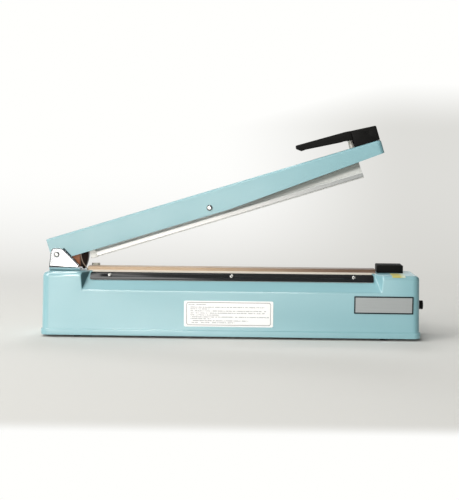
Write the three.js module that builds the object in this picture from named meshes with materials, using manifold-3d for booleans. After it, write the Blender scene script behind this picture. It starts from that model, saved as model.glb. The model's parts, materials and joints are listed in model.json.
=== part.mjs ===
// Hand impulse heat sealer with a hinged pressing arm, in millimetres, +Z up, front towards -Y.
// The arm is drawn at the open angle at which its spring holds it. The origin is the middle of the footprint.
import * as THREE from 'three';
import { mergeVertices } from 'three/addons/utils/BufferGeometryUtils.js';
import Module from 'manifold-3d';

const wasm = await Module();
wasm.setup();

// Clearances
const seatGap = 0.05;
const fitGap = 0.3;
const cutOver = 2;

// Base housing: a pressed steel shell with a flared skirt
const baseLength = 524;
const baseDepth = 82;
const baseLift = 3.5;
const baseHeight = 86;
const skirtHeight = 8.5;
const skirtFlare = 1.6;
const skirtStep = 0.9;
const shellWall = 1.4;
const wallDraftShare = 0.018;
const planCorner = 10;
const topFillet = 5;

// Notch in front of and behind the sealing ridge
const notchLeftInset = 56;
const notchRightInset = 53;
const notchSill = 66;
const ridgeHalf = 13.7;
const endWallSlant = 10;
const endWallLean = 2;

// Bottom plate and feet
const plateThickness = 1.2;
const footInsetX = 50;
const footInsetY = 14;
const footRadius = 5.5;
const footRecessRadius = 3.6;
const footRecessDepth = 1.7;
const footScrewLength = 6;

// Screws
const screwHeadRadius = 2.7;
const screwHeadHeight = 1.6;
const screwShankRadius = 1.4;
const screwHoleRadius = 1.7;

// Hinge bracket
const hingeInset = 19.5;
const hingeRise = 22.5;
const bracketHalfWidth = 16.5;
const bracketSheet = 1.5;
const bracketBend = 5.5;
const bracketBack = 10.6;
const bracketFront = 32.6;
const cheekFront = 30;
const cheekToe = 8.6;
const cheekTop = 8.7;
const cheekTopBack = 6.6;
const cheekTopFront = 7.4;
const cheekLean = 2.4;
const cheekRound = 5;
const bracketScrewSpacing = 20;
const bracketScrewOffset = 2.5;
const bracketScrewLength = 7;

// Hinge bolt, nut and lift spring
const boltRadius = 2.5;
const boltHoleRadius = 2.7;
const boltHeadRadius = 3.8;
const boltHeadHeight = 2.4;
const nutAcross = 8;
const nutHeight = 3;
const springWireRadius = 0.8;
const springCoilRadius = 4.3;
const springPitch = 2.35;
const springTurns = 4.875;
const springStartDeg = 20;
const springLowerLeg = 22;
const springUpperLeg = 26.5;

// Insulating hinge block and the lead beside it
const blockHalfWidth = 10.4;
const blockBack = 16.5;
const blockSweep = 42.2;
const blockTop = 9;
const blockShoulder = 8;
const leadRadius = 0.7;

// Sealing seat
const seatHalfWidth = 10.4;
const seatBarHeight = 5.4;
const seatLeftInset = 16;
const seatRightInset = 18;
const elementHalfWidth = 1.5;
const elementThickness = 0.15;
const coverThickness = 0.25;
const coverLeftInset = 6;
const coverRightInset = 8;
const hemLeftInset = 12.8;
const hemRightInset = 13.4;
const hemReach = 6.2;

// Terminals of the heating element
const terminalLength = 6;
const terminalHalfWidth = 6;
const terminalPostRadius = 2;
const terminalPostLength = 22;
const bushRadius = 4;
const bushFlangeRadius = 4.4;
const bushFlange = 0.8;
const bushLength = 6;
const tabWidth = 5.4;
const tabSheet = 0.8;
const tabReach = 15;
const tabLength = 11.6;
const tabRise = 2.6;

// Clamp strips on the two slopes
const stripLeftInset = 11;
const stripRightInset = 11.6;
const stripWidth = 14.4;
const stripThickness = 1.2;
const stripDrop = 2.7;
const stripCorner = 3;
const stripScrewInset = 26;
const stripScrewDrop = 5.9;
const stripScrewLength = 6;

// Black cover behind the right end of the ridge
const capInset = 4.4;
const capLength = 36.2;
const capFront = 2;
const capDepth = 28;
const capHeight = 11;
const capWall = 1.6;
const capRound = 1.6;

// Plates and labels on the front
const labelThickness = 0.25;
const labelLeft = 63.5;
const labelWidth = 122.5;
const labelBottom = 16.9;
const labelHeight = 35.8;
const labelCorner = 2;
const namePlateInset = 92.5;
const namePlateWidth = 81;
const namePlateBottom = 37.3;
const namePlateHeight = 24.2;
const namePlateThickness = 0.8;
const stickerInset = 41;
const stickerWidth = 18;
const stickerBack = 6;
const stickerTurnDeg = 58;

// Transformer, timer and cord inlet inside the base
const coreInset = 144;
const coreWidth = 66;
const coreDepth = 30;
const coreHeight = 55;
const coreLeg = 22;
const coreWindow = 11;
const coilDepth = 52;
const coilGap = 0.4;
const strapSheet = 1.2;
const strapFoot = 10;
const timerHeight = 45.6;
const timerShaftRadius = 3;
const timerHoleRadius = 3.6;
const potRadius = 8.5;
const potLength = 10;
const potBoreDepth = 8;
const boardHalfDepth = 24;
const boardHeight = 46;
const boardThickness = 1.6;
const knobRadius = 7.4;
const knobTipRadius = 5.9;
const knobLength = 10.6;
const knobSkirt = 3;
const knobDome = 1.4;
const knobBoreDepth = 8;
const glandInset = 38;
const glandHeight = 26;
const glandRadius = 6.5;
const glandFlangeRadius = 9.5;
const glandFlange = 1.4;
const glandBore = 4;
const glandLength = 12;

// Pressing arm, drawn along its own length from the hinge bolt
const armRestDeg = 17.2;
const armTail = 8.3;
const armEndInset = 48.6;
const armTop = 23.9;
const armDrop = 8.5;
const armTaperLength = 225.4;
const armEndDrop = 5.2;
const armHalfWidth = 14.5;
const armSheet = 1.2;
const armBend = 2.6;
const armEndCorner = 7;
const armEndSlope = 1.4;

// Pressing bar hung in the arm on its middle screw
const barPivotInset = 253;
const barPivotV = 1.4;
const barLeft = 46.5;
const barEndInset = 35.8;
const barFootHalfWidth = 7;
const barFootTop = 11.2;
const barFootBottom = 18.2;
const barLipHeight = 1.6;
const barWebHalfWidth = 3;
const barWebTop = 5;
const barWebStep = 1.2;
const siliconeHalfWidth = 6.2;
const siliconeBottom = 19.9;
const capBlockThickness = 3.3;
const capBlockTop = 7.6;
const capBlockBottom = 19;
const capBlockHalfWidth = 7.4;
const pivotScrewRadius = 2;
const pivotHoleRadius = 2.2;
const pivotHeadRadius = 4;
const pivotHeadHeight = 1.8;
const pivotNutAcross = 7;
const pivotNutHeight = 2.6;

// Handle block, squeeze grip, plunger and switch at the arm's end
const handleInset = 1.4;
const handleLength = 35.2;
const handleFloor = 4.8;
const handleHeight = 23.2;
const handleFall = 2.6;
const handleHalfWidth = 12.5;
const handleRound = 2;
const slotHalfWidth = 7;
const slotBackWall = 5;
const gripLength = 77.4;
const gripRise = 25.4;
const gripRunGap = 0.6;
const gripTailHalfWidth = 6.5;
const gripTailReach = 28.4;
const gripTailTop = 19.8;
const gripTailBottom = 11.8;
const gripPivotInset = 14;
const gripPivotRise = 14.2;
const gripPinRadius = 1.9;
const gripPinHoleRadius = 2.1;
const plungerInset = 39;
const plungerRadius = 1.5;
const plungerHoleRadius = 1.9;
const plungerCollarRadius = 3.5;
const plungerCollarHeight = 1.1;
const plungerTop = 10.7;
const plungerBottom = 1.15;
const coilWireRadius = 0.4;
const coilMeanRadius = 2.7;
const coilTurns = 6;
const switchHalfLength = 10;
const switchHalfWidth = 3.2;
const switchTop = 20.2;
const switchHeight = 8.2;
const switchButtonRadius = 1.2;
const switchButtonHeight = 0.5;
const switchPlate = 1;
const switchPlateReach = 7;
const handleScrewLength = 6;
const handleScrewInsets = [24, 7];

// Outline of the grip: share of its length from the block, share of its rise over the arm
const gripOutlineShares = [
  [0, 0.433], [0.08, 0.433], [0.168, 0.472], [0.21, 0.461], [0.852, 0.638], [0.921, 0.622],
  [1, 0.811], [0.994, 0.975], [0.975, 1], [0.085, 0.945], [0, 0.921],
];

// Route of the thin lead: place from the hinge bolt along X, place along Y, height over the base top
const leadRoute = [
  [31, -8.6, 32.3], [31.2, -9.6, 34.2], [31.9, -11.4, 33.4], [32.6, -11.8, 28.5], [33.6, -11.8, 20],
  [36, -11.8, 11.7], [39.9, -11.9, 6.1], [42.2, -12, 2.6], [43, -12, 0.8],
];

// Segment counts
const ringSteps = 5;
const filletSteps = 4;
const roundSides = 12;
const wireSides = 5;
const stepsPerCurl = 8;

// Finishes: colour, roughness, metalness
const finishes = {
  paint: ['#9cc6c9', 0.32, 0.1],
  bareSteel: ['#b9bcbe', 0.4, 0.9],
  chrome: ['#e6e8ea', 0.15, 1],
  screwSteel: ['#c9cccd', 0.3, 1],
  springSteel: ['#8d9092', 0.35, 1],
  rubber: ['#1c1c1d', 0.8, 0],
  phenolic: ['#6b3f2a', 0.6, 0],
  aluminium: ['#d9dcdd', 0.35, 0.9],
  silicone: ['#cfd0cd', 0.6, 0],
  cream: ['#eee6d4', 0.55, 0],
  glassCloth: ['#b08c68', 0.5, 0],
  blackGloss: ['#1c1e20', 0.2, 0.1],
  blackPlastic: ['#17181a', 0.45, 0],
  brass: ['#b8924a', 0.35, 0.9],
  nichrome: ['#8a8680', 0.4, 0.9],
  bush: ['#d8d2c4', 0.7, 0],
  paper: ['#e9ebe8', 0.6, 0],
  silverPlate: ['#b4b6b8', 0.4, 0.6],
  yellow: ['#e3dc6a', 0.5, 0],
  laminations: ['#6f7275', 0.5, 0.8],
  copper: ['#a8562f', 0.45, 0.7],
  board: ['#2f6b45', 0.6, 0],
  lead: ['#e4e1da', 0.45, 0],
};

// Sizes that follow from the ones above
const degree = Math.PI / 180;
const hingeX = baseLength / 2 - hingeInset;
const notchLeft = baseLength / 2 - notchLeftInset;
const notchRight = baseLength / 2 - notchRightInset;
const footSpacingX = baseLength - 2 * footInsetX;
const footSpacingY = baseDepth - 2 * footInsetY;
const seatLeft = notchLeft - seatLeftInset;
const seatRight = notchRight - seatRightInset;
const coverLeft = notchLeft - coverLeftInset;
const coverRight = notchRight - coverRightInset;
const hemLeft = notchLeft - hemLeftInset;
const hemRight = notchRight - hemRightInset;
const stripLeft = notchLeft - stripLeftInset;
const stripRight = notchRight - stripRightInset;
const stripScrewSpacing = stripLeft - stripScrewInset;
const capLeft = notchRight - capInset;
const namePlateLeft = baseLength / 2 - namePlateInset;
const stickerLeft = baseLength / 2 - stickerInset;
const glandX = baseLength / 2 - glandInset;
const coreX = baseLength / 2 - coreInset;
const armReach = baseLength - armEndInset;
const armTaperStart = armReach - armTaperLength;
const barPivotU = armReach - barPivotInset;
const barRight = armReach - barEndInset;
const barWebRight = barRight - barWebStep;
const handleEnd = armReach - handleInset;
const gripPivotU = handleEnd - gripPivotInset;
const plungerU = handleEnd - plungerInset;
const handleScrewPlaces = handleScrewInsets.map((inset) => handleEnd - inset);
const baseTop = baseLift + baseHeight;
const bodyInset = skirtFlare;
const hingeZ = baseTop + hingeRise;
const bodyFoot = baseLift + skirtHeight;
const draftAt = (z) => wallDraftShare * Math.max(0, z - bodyFoot);
const bodyHalfX = (z) => baseLength / 2 - bodyInset - draftAt(z);
const bodyHalfY = (z) => baseDepth / 2 - bodyInset - draftAt(z);
const sillHalf = bodyHalfY(notchSill);
const slopeAngle = Math.atan2(baseTop - notchSill, sillHalf - ridgeHalf);
const slopeLength = Math.hypot(baseTop - notchSill, sillHalf - ridgeHalf);
const plateBottom = baseLift + fitGap;
const plateTop = plateBottom + plateThickness;
const knobReach = knobLength + fitGap;
const originX = (bodyHalfX(timerHeight) + knobReach - baseLength / 2) / 2;

const part = new THREE.Group();
part.position.x = -originX;
const pi2 = Math.PI / 2;

// Cleans a geometry into one closed mesh with shared corners and its faces pointing out
function closed(geometry) {
  const bare = geometry.clone();
  bare.deleteAttribute('normal');
  bare.deleteAttribute('uv');
  const merged = mergeVertices(bare, 1e-4);
  const p = merged.getAttribute('position');
  const kept = [];
  let volume = 0;
  const a = new THREE.Vector3();
  const b = new THREE.Vector3();
  const c = new THREE.Vector3();
  for (let i = 0; i < merged.index.count; i += 3) {
    const [i0, i1, i2] = [0, 1, 2].map((k) => merged.index.getX(i + k));
    if (i0 === i1 || i1 === i2 || i2 === i0) continue;
    kept.push([i0, i1, i2]);
    a.fromBufferAttribute(p, i0);
    b.fromBufferAttribute(p, i1);
    c.fromBufferAttribute(p, i2);
    volume += a.dot(b.cross(c));
  }
  const turned = volume < 0 ? kept.map(([i0, i1, i2]) => [i0, i2, i1]) : kept;
  merged.setIndex(turned.flat());
  return merged;
}

// Turns a geometry into a solid that can be cut and joined, and back
function solid(geometry) {
  const g = closed(geometry);
  return new wasm.Manifold(new wasm.Mesh({
    numProp: 3,
    vertProperties: new Float32Array(g.getAttribute('position').array),
    triVerts: new Uint32Array(g.index.array),
  }));
}

function geometryOf(manifold) {
  const mesh = manifold.getMesh();
  const g = new THREE.BufferGeometry();
  g.setAttribute('position', new THREE.BufferAttribute(new Float32Array(mesh.vertProperties), 3));
  g.setIndex(Array.from(mesh.triVerts));
  return g;
}

const cut = (first, ...others) => others.reduce((sum, other) => sum.subtract(other), first);
const join = (first, ...others) => others.reduce((sum, other) => sum.add(other), first);

// Adds one named piece to a group
function place(name, shape, finish, group) {
  const [color, roughness, metalness] = finishes[finish];
  const geometry = shape.isBufferGeometry ? closed(shape) : geometryOf(shape);
  geometry.computeVertexNormals();
  const mesh = new THREE.Mesh(geometry, new THREE.MeshStandardMaterial({ color, roughness, metalness }));
  mesh.name = name;
  group.add(mesh);
  return mesh;
}

function block(x0, x1, y0, y1, z0, z1) {
  const g = new THREE.BoxGeometry(x1 - x0, y1 - y0, z1 - z0);
  return g.translate((x0 + x1) / 2, (y0 + y1) / 2, (z0 + z1) / 2);
}

// A round bar from one point along an axis of the frame
function roundBar(radius, length, axis, x, y, z, sides = roundSides) {
  const g = new THREE.CylinderGeometry(radius, radius, length, sides).translate(0, length / 2, 0);
  if (axis === 'x') g.rotateZ(-pi2);
  if (axis === 'z') g.rotateX(pi2);
  return g.translate(x, y, z);
}

// Extrudes an outline drawn in X and Z along Y
function plateXZ(shape, y0, y1, curveSegments = filletSteps) {
  const g = new THREE.ExtrudeGeometry(shape, { depth: y1 - y0, bevelEnabled: false, curveSegments });
  return g.rotateX(pi2).translate(0, y1, 0);
}

// Extrudes an outline drawn in Y and Z along X
function plateYZ(shape, x0, x1, curveSegments = filletSteps) {
  const g = new THREE.ExtrudeGeometry(shape, { depth: x1 - x0, bevelEnabled: false, curveSegments });
  const turn = new THREE.Matrix4().makeBasis(
    new THREE.Vector3(0, 1, 0),
    new THREE.Vector3(0, 0, 1),
    new THREE.Vector3(1, 0, 0),
  );
  return g.applyMatrix4(turn).translate(x0, 0, 0);
}

// Extrudes an outline drawn in X and Y upwards
function plateXY(shape, z0, z1, curveSegments = filletSteps) {
  const g = new THREE.ExtrudeGeometry(shape, { depth: z1 - z0, bevelEnabled: false, curveSegments });
  return g.translate(0, 0, z0);
}

function outline(points) {
  return new THREE.Shape(points.map(([x, y]) => new THREE.Vector2(x, y)));
}

function roundedRectangle(x0, x1, y0, y1, r) {
  const s = new THREE.Shape();
  s.moveTo(x0 + r, y0);
  s.lineTo(x1 - r, y0);
  s.absarc(x1 - r, y0 + r, r, -pi2, 0);
  s.lineTo(x1, y1 - r);
  s.absarc(x1 - r, y1 - r, r, 0, pi2);
  s.lineTo(x0 + r, y1);
  s.absarc(x0 + r, y1 - r, r, pi2, Math.PI);
  s.lineTo(x0, y0 + r);
  s.absarc(x0 + r, y0 + r, r, Math.PI, Math.PI + pi2);
  return s;
}

function revolved(points, sides = roundSides) {
  return new THREE.LatheGeometry(points.map(([r, y]) => new THREE.Vector2(r, y)), sides);
}

// A screw with a low domed head: the head's seat is at the origin and the shank runs down -Y
function screw(length, headRadius = screwHeadRadius, headHeight = screwHeadHeight, shank = screwShankRadius) {
  return revolved([
    [0, -length], [shank, -length], [shank, 0], [headRadius, 0],
    [headRadius, headHeight * 0.4], [headRadius * 0.7, headHeight * 0.85], [0, headHeight],
  ]);
}

function hexagon(across, height, hole) {
  const radius = across / 2 / Math.cos(Math.PI / 6);
  const s = new THREE.Shape();
  for (let i = 0; i < 6; i += 1) {
    const angle = (i + 0.5) * Math.PI / 3;
    const [x, y] = [radius * Math.cos(angle), radius * Math.sin(angle)];
    if (i === 0) s.moveTo(x, y);
    else s.lineTo(x, y);
  }
  s.closePath();
  const bore = new THREE.Path();
  bore.absarc(0, 0, hole / Math.cos(Math.PI / roundSides), 0, 2 * Math.PI, true);
  s.holes.push(bore);
  return plateXZ(s, 0, height, roundSides / 2);
}

// A round wire through points, its ends capped
function wire(points, radius, sides = wireSides) {
  const positions = [];
  const index = [];
  let side = null;
  let last = null;
  points.forEach((point, i) => {
    const back = i > 0 ? point.clone().sub(points[i - 1]).normalize() : null;
    const ahead = i < points.length - 1 ? points[i + 1].clone().sub(point).normalize() : null;
    const along = (back && ahead ? back.clone().add(ahead) : back || ahead).clone().normalize();
    if (!side) side = new THREE.Vector3(0, 1, 0).cross(along).normalize();
    else side.applyQuaternion(new THREE.Quaternion().setFromUnitVectors(last, along));
    last = along.clone();
    const up = along.clone().cross(side);
    const stretch = back && ahead ? 1 / Math.max(0.7, along.dot(back)) : 1;
    const bend = back && ahead ? ahead.clone().sub(back) : new THREE.Vector3();
    bend.normalize();
    for (let k = 0; k < sides; k += 1) {
      const a = 2 * Math.PI * k / sides;
      const out = side.clone().multiplyScalar(Math.cos(a)).addScaledVector(up, Math.sin(a));
      out.addScaledVector(bend, out.dot(bend) * (stretch - 1));
      positions.push(...point.clone().addScaledVector(out, radius).toArray());
    }
  });
  for (let i = 0; i < points.length - 1; i += 1) {
    for (let k = 0; k < sides; k += 1) {
      const [p, q] = [i * sides + k, i * sides + (k + 1) % sides];
      index.push(p, q, q + sides, p, q + sides, p + sides);
    }
  }
  const end = (points.length - 1) * sides;
  for (let k = 1; k < sides - 1; k += 1) {
    index.push(0, k + 1, k, end, end + k, end + k + 1);
  }
  const g = new THREE.BufferGeometry();
  g.setAttribute('position', new THREE.Float32BufferAttribute(positions, 3));
  g.setIndex(index);
  return g;
}

// The least gap between the turns of a wire, measured on its points one curl apart
function reportGap(name, points, radius, perCurl) {
  let least = Infinity;
  for (let i = 0; i < points.length; i += 1) {
    for (let j = i + perCurl - 2; j < points.length; j += 1) {
      least = Math.min(least, points[i].distanceTo(points[j]) - 2 * radius);
    }
  }
  console.log(`${name}: least gap to itself ${least.toFixed(2)} mm`);
}

// One ring of a rounded rectangle at a height, as points that run counter-clockwise
function ring(halfX, halfY, radius, z) {
  const points = [];
  const corners = [[1, -1, -pi2], [1, 1, 0], [-1, 1, pi2], [-1, -1, Math.PI]];
  corners.forEach(([sx, sy, start]) => {
    for (let i = 0; i <= ringSteps; i += 1) {
      const a = start + pi2 * i / ringSteps;
      points.push([sx * (halfX - radius) + radius * Math.cos(a), sy * (halfY - radius) + radius * Math.sin(a), z]);
    }
  });
  return points;
}

// A closed body through a stack of rings that have the same number of points
function loft(rings) {
  const count = rings[0].length;
  const positions = rings.flat(2);
  const index = [];
  for (let r = 0; r < rings.length - 1; r += 1) {
    for (let k = 0; k < count; k += 1) {
      const [p, q] = [r * count + k, r * count + (k + 1) % count];
      index.push(p, q, q + count, p, q + count, p + count);
    }
  }
  const top = (rings.length - 1) * count;
  for (let k = 1; k < count - 1; k += 1) {
    index.push(0, k + 1, k, top, top + k, top + k + 1);
  }
  const g = new THREE.BufferGeometry();
  g.setAttribute('position', new THREE.Float32BufferAttribute(positions, 3));
  g.setIndex(index);
  return g;
}

function mirroredY(geometry) {
  return closed(geometry.clone().scale(1, -1, 1));
}

// Base housing
function housingBody(inset, overrun) {
  const fillet = topFillet - inset;
  const corner = planCorner - inset;
  const top = baseTop - inset;
  const rings = [];
  if (inset === 0) {
    rings.push(ring(baseLength / 2, baseDepth / 2, corner + bodyInset, baseLift));
    rings.push(ring(baseLength / 2, baseDepth / 2, corner + bodyInset, bodyFoot - skirtStep));
  } else {
    rings.push(ring(bodyHalfX(0) - inset, bodyHalfY(0) - inset, corner, baseLift - overrun));
  }
  for (const z of [bodyFoot, top - fillet]) {
    rings.push(ring(bodyHalfX(z) - inset, bodyHalfY(z) - inset, corner, z));
  }
  for (let i = 1; i <= filletSteps; i += 1) {
    const a = pi2 * i / filletSteps;
    const shrink = inset + fillet * (1 - Math.cos(a));
    const z = top - fillet + fillet * Math.sin(a);
    rings.push(ring(bodyHalfX(z) - shrink, bodyHalfY(z) - shrink, corner - fillet * (1 - Math.cos(a)), z));
  }
  return solid(loft(rings));
}

// The wedge that is cut away in front of the ridge; grow moves its faces into the housing
function notchWedge(grow) {
  const out = baseDepth;
  const rise = Math.tan(slopeAngle);
  const offset = grow / Math.cos(slopeAngle);
  const low = notchSill - offset - (out - sillHalf) * rise;
  const high = baseTop + cutOver;
  const apex = ridgeHalf - (offset + cutOver) / rise;
  const places = [[-out, low], [-apex, high], [-out, high]];
  const wallX = (edge, y, z) => {
    const slant = endWallSlant * (sillHalf + y) / (sillHalf - ridgeHalf);
    const lean = endWallLean * (baseTop - z) / (baseTop - notchSill);
    return edge - slant - lean + grow;
  };
  const left = places.map(([y, z]) => [-wallX(notchLeft, y, z), y, z]);
  const right = places.map(([y, z]) => [wallX(notchRight, y, z), y, z]);
  const g = new THREE.BufferGeometry();
  g.setAttribute('position', new THREE.Float32BufferAttribute([...left, ...right].flat(), 3));
  g.setIndex([0, 1, 2, 3, 5, 4, 0, 3, 4, 0, 4, 1, 1, 4, 5, 1, 5, 2, 2, 5, 3, 2, 3, 0]);
  return closed(g);
}

// Places on the front slope: distance down from the ridge and height over the slope
function slopeFrame(down, over) {
  const m = new THREE.Matrix4().makeRotationX(slopeAngle);
  const y = -ridgeHalf - down * Math.cos(slopeAngle) - over * Math.sin(slopeAngle);
  const z = baseTop - down * Math.sin(slopeAngle) + over * Math.cos(slopeAngle);
  return m.setPosition(0, y, z);
}

const stripScrewX = [-1, 0, 1].map((k) => k * stripScrewSpacing + (stripRight - stripLeft) / 2);
const stripScrewDown = stripDrop + stripScrewDrop;
const terminalLeftX = -(seatLeft + fitGap + bushFlangeRadius);
const terminalRightX = seatRight + fitGap + bushFlangeRadius;
const terminalX = [terminalLeftX, terminalRightX];
const bracketScrewX = [-1, 1].map((k) => -hingeX + bracketScrewOffset + k * bracketScrewSpacing / 2);

function housing() {
  const wedge = notchWedge(0);
  const innerWedge = notchWedge(shellWall);
  const inner = cut(housingBody(shellWall, cutOver), solid(innerWedge), solid(mirroredY(innerWedge)));
  let shell = cut(housingBody(0, 0), solid(wedge), solid(mirroredY(wedge)), inner);
  const drill = (radius, x, y) => solid(roundBar(radius, shellWall + 2 * cutOver, 'z', x, y, baseTop - shellWall - cutOver));
  for (const x of bracketScrewX) shell = cut(shell, drill(screwHoleRadius, x, 0));
  for (const x of terminalX) shell = cut(shell, drill(bushRadius + seatGap, x, 0));
  for (const x of stripScrewX) {
    const hole = roundBar(screwHoleRadius, shellWall + 2 * cutOver, 'z', 0, 0, -shellWall - cutOver);
    hole.applyMatrix4(slopeFrame(stripScrewDown, 0)).translate(x, 0, 0);
    shell = cut(shell, solid(hole), solid(mirroredY(hole)));
  }
  const wallX = bodyHalfX(timerHeight) - shellWall - cutOver;
  shell = cut(shell, solid(roundBar(timerHoleRadius, shellWall + 2 * cutOver, 'x', wallX, 0, timerHeight)));
  const wallY = bodyHalfY(glandHeight) - shellWall - cutOver;
  const inlet = roundBar(glandRadius + seatGap, shellWall + 2 * cutOver, 'y', glandX, wallY, glandHeight, 16);
  return cut(shell, solid(inlet));
}
place('base_housing', housing(), 'paint', part);

// Bottom plate with its screw holes, feet and their screws
const footPlaces = [[-1, -1], [1, -1], [-1, 1], [1, 1]].map(([i, j]) => [i * footSpacingX / 2, j * footSpacingY / 2]);
function bottomPlate() {
  const halfX = bodyHalfX(0) - shellWall - fitGap;
  const halfY = bodyHalfY(0) - shellWall - fitGap;
  const sheet = roundedRectangle(-halfX, halfX, -halfY, halfY, planCorner - shellWall);
  for (const [x, y] of footPlaces) {
    const hole = new THREE.Path();
    hole.absarc(x, y, screwHoleRadius, 0, 2 * Math.PI, true);
    sheet.holes.push(hole);
  }
  return plateXY(sheet, plateBottom, plateTop, 3);
}
place('bottom_plate', bottomPlate(), 'bareSteel', part);

const footNames = ['front_left', 'front_right', 'rear_left', 'rear_right'];
footPlaces.forEach(([x, y], i) => {
  const top = plateBottom - seatGap;
  const foot = revolved([
    [footRecessRadius, 0], [footRadius - fitGap, 0], [footRadius, fitGap], [footRadius, top],
    [screwHoleRadius, top], [screwHoleRadius, footRecessDepth], [footRecessRadius, footRecessDepth],
    [footRecessRadius, 0],
  ], 16);
  place(`foot_${footNames[i]}`, foot.rotateX(pi2).translate(x, y, 0), 'rubber', part);
  const bolt = screw(footScrewLength).rotateX(-pi2).translate(x, y, footRecessDepth - seatGap);
  place(`foot_screw_${footNames[i]}`, bolt, 'screwSteel', part);
});

// Hinge bracket: a bent U of sheet steel with two cheeks
const bracketFloor = baseTop + seatGap;
const bracketInside = bracketFloor + bracketSheet;
function bracket() {
  const top = hingeZ + cheekTop;
  const half = bracketHalfWidth;
  const u = new THREE.Shape();
  u.moveTo(-half, top + cutOver);
  u.lineTo(-half, bracketFloor + bracketBend);
  u.absarc(-half + bracketBend, bracketFloor + bracketBend, bracketBend, Math.PI, Math.PI + pi2);
  u.lineTo(half - bracketBend, bracketFloor);
  u.absarc(half - bracketBend, bracketFloor + bracketBend, bracketBend, -pi2, 0);
  u.lineTo(half, top + cutOver);
  u.lineTo(half - bracketSheet, top + cutOver);
  u.lineTo(half - bracketSheet, bracketFloor + bracketBend);
  const innerBend = bracketBend - bracketSheet;
  u.absarc(half - bracketBend, bracketFloor + bracketBend, innerBend, 0, -pi2, true);
  u.lineTo(-half + bracketBend, bracketInside);
  u.absarc(-half + bracketBend, bracketFloor + bracketBend, innerBend, -pi2, -Math.PI, true);
  u.lineTo(-half + bracketSheet, top + cutOver);
  const side = new THREE.Shape();
  side.moveTo(-hingeX - bracketBack, bracketFloor - cutOver);
  side.lineTo(-hingeX + bracketFront, bracketFloor - cutOver);
  side.lineTo(-hingeX + bracketFront, bracketFloor + bracketBend * 0.6);
  side.lineTo(-hingeX + cheekFront, bracketFloor + bracketBend);
  side.lineTo(-hingeX + cheekFront, bracketFloor + cheekToe);
  side.lineTo(-hingeX + cheekTopFront + cheekRound * 0.4, top - cheekRound * 0.4);
  side.quadraticCurveTo(-hingeX + cheekTopFront, top, -hingeX + cheekTopFront - cheekRound * 0.6, top);
  side.lineTo(-hingeX - cheekTopBack + cheekRound * 0.4, top);
  side.quadraticCurveTo(-hingeX - cheekTopBack, top, -hingeX - bracketBack + cheekLean, top - cheekRound);
  side.lineTo(-hingeX - bracketBack, bracketFloor + cheekToe);
  const length = bracketBack + bracketFront;
  let piece = solid(plateYZ(u, -hingeX - bracketBack - cutOver, -hingeX - bracketBack + length + cutOver));
  piece = piece.intersect(solid(plateXZ(side, -half - cutOver, half + cutOver)));
  piece = cut(piece, solid(roundBar(boltHoleRadius, 2 * (half + cutOver), 'y', -hingeX, -half - cutOver, hingeZ)));
  for (const x of bracketScrewX) {
    piece = cut(piece, solid(roundBar(screwHoleRadius, bracketSheet + 2 * cutOver, 'z', x, 0, bracketFloor - cutOver)));
  }
  return piece;
}
place('hinge_bracket', bracket(), 'chrome', part);
bracketScrewX.forEach((x, i) => {
  const bolt = screw(bracketScrewLength).rotateX(pi2).translate(x, 0, bracketInside + seatGap);
  place(`bracket_screw_${i + 1}`, bolt, 'screwSteel', part);
});

// Hinge bolt across the cheeks and its nut at the back
const boltLength = 2 * bracketHalfWidth + nutHeight + 2 * seatGap;
const hingeBolt = screw(boltLength, boltHeadRadius, boltHeadHeight, boltRadius)
  .rotateX(Math.PI).translate(-hingeX, -bracketHalfWidth - seatGap, hingeZ);
place('hinge_bolt', hingeBolt, 'screwSteel', part);
place('hinge_nut', hexagon(nutAcross, nutHeight, boltRadius + seatGap)
  .translate(-hingeX, bracketHalfWidth + seatGap, hingeZ), 'screwSteel', part);

// Lift spring: a torsion coil round the bolt, one leg on the bracket floor and one under the arm's top
function liftSpring() {
  const points = [];
  const start = springStartDeg * degree;
  const half = springPitch * springTurns / 2;
  const at = (a, y) => new THREE.Vector3(
    -hingeX + springCoilRadius * Math.cos(a), y, hingeZ + springCoilRadius * Math.sin(a));
  const first = at(start, -half);
  const down = new THREE.Vector3(Math.sin(start), 0, -Math.cos(start));
  points.push(first.clone().addScaledVector(down, springLowerLeg), first);
  const steps = Math.round(springTurns * stepsPerCurl);
  for (let i = 1; i <= steps; i += 1) {
    const share = i / steps;
    points.push(at(start + springTurns * 2 * Math.PI * share, -half + 2 * half * share));
  }
  const turned = start + springTurns * 2 * Math.PI;
  const up = new THREE.Vector3(-Math.sin(turned), 0, Math.cos(turned));
  points.push(points[points.length - 1].clone().addScaledVector(up, springUpperLeg));
  reportGap('lift_spring', points.slice(1, -1), springWireRadius, stepsPerCurl);
  return wire(points, springWireRadius);
}
place('lift_spring', liftSpring(), 'springSteel', part);

// Insulating block between the hinge and the seat, its end an arc that the pressing bar sweeps past
function hingeBlock() {
  const floor = bracketInside + seatGap;
  const s = new THREE.Shape();
  const low = Math.asin((floor - hingeZ) / blockSweep);
  const high = Math.asin(blockTop / blockSweep);
  s.moveTo(-hingeX + blockBack, floor);
  s.absarc(-hingeX, hingeZ, blockSweep, low, high);
  s.lineTo(-hingeX + blockBack + blockShoulder, hingeZ + blockTop);
  s.lineTo(-hingeX + blockBack, hingeZ + blockTop - blockShoulder);
  return plateXZ(s, -blockHalfWidth, blockHalfWidth, 6);
}
place('hinge_block', hingeBlock(), 'phenolic', part);

// Thin lead that runs up beside the block
function lead() {
  const points = leadRoute.map(([x, y, z]) => new THREE.Vector3(-hingeX + x, y, baseTop + z));
  const path = new THREE.CatmullRomCurve3(points, false, 'centripetal');
  const circle = new THREE.Shape();
  circle.absarc(0, 0, leadRadius, 0, 2 * Math.PI);
  return new THREE.ExtrudeGeometry(circle, { steps: 24, extrudePath: path, curveSegments: 3 });
}
place('switch_lead', lead(), 'lead', part);

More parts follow.
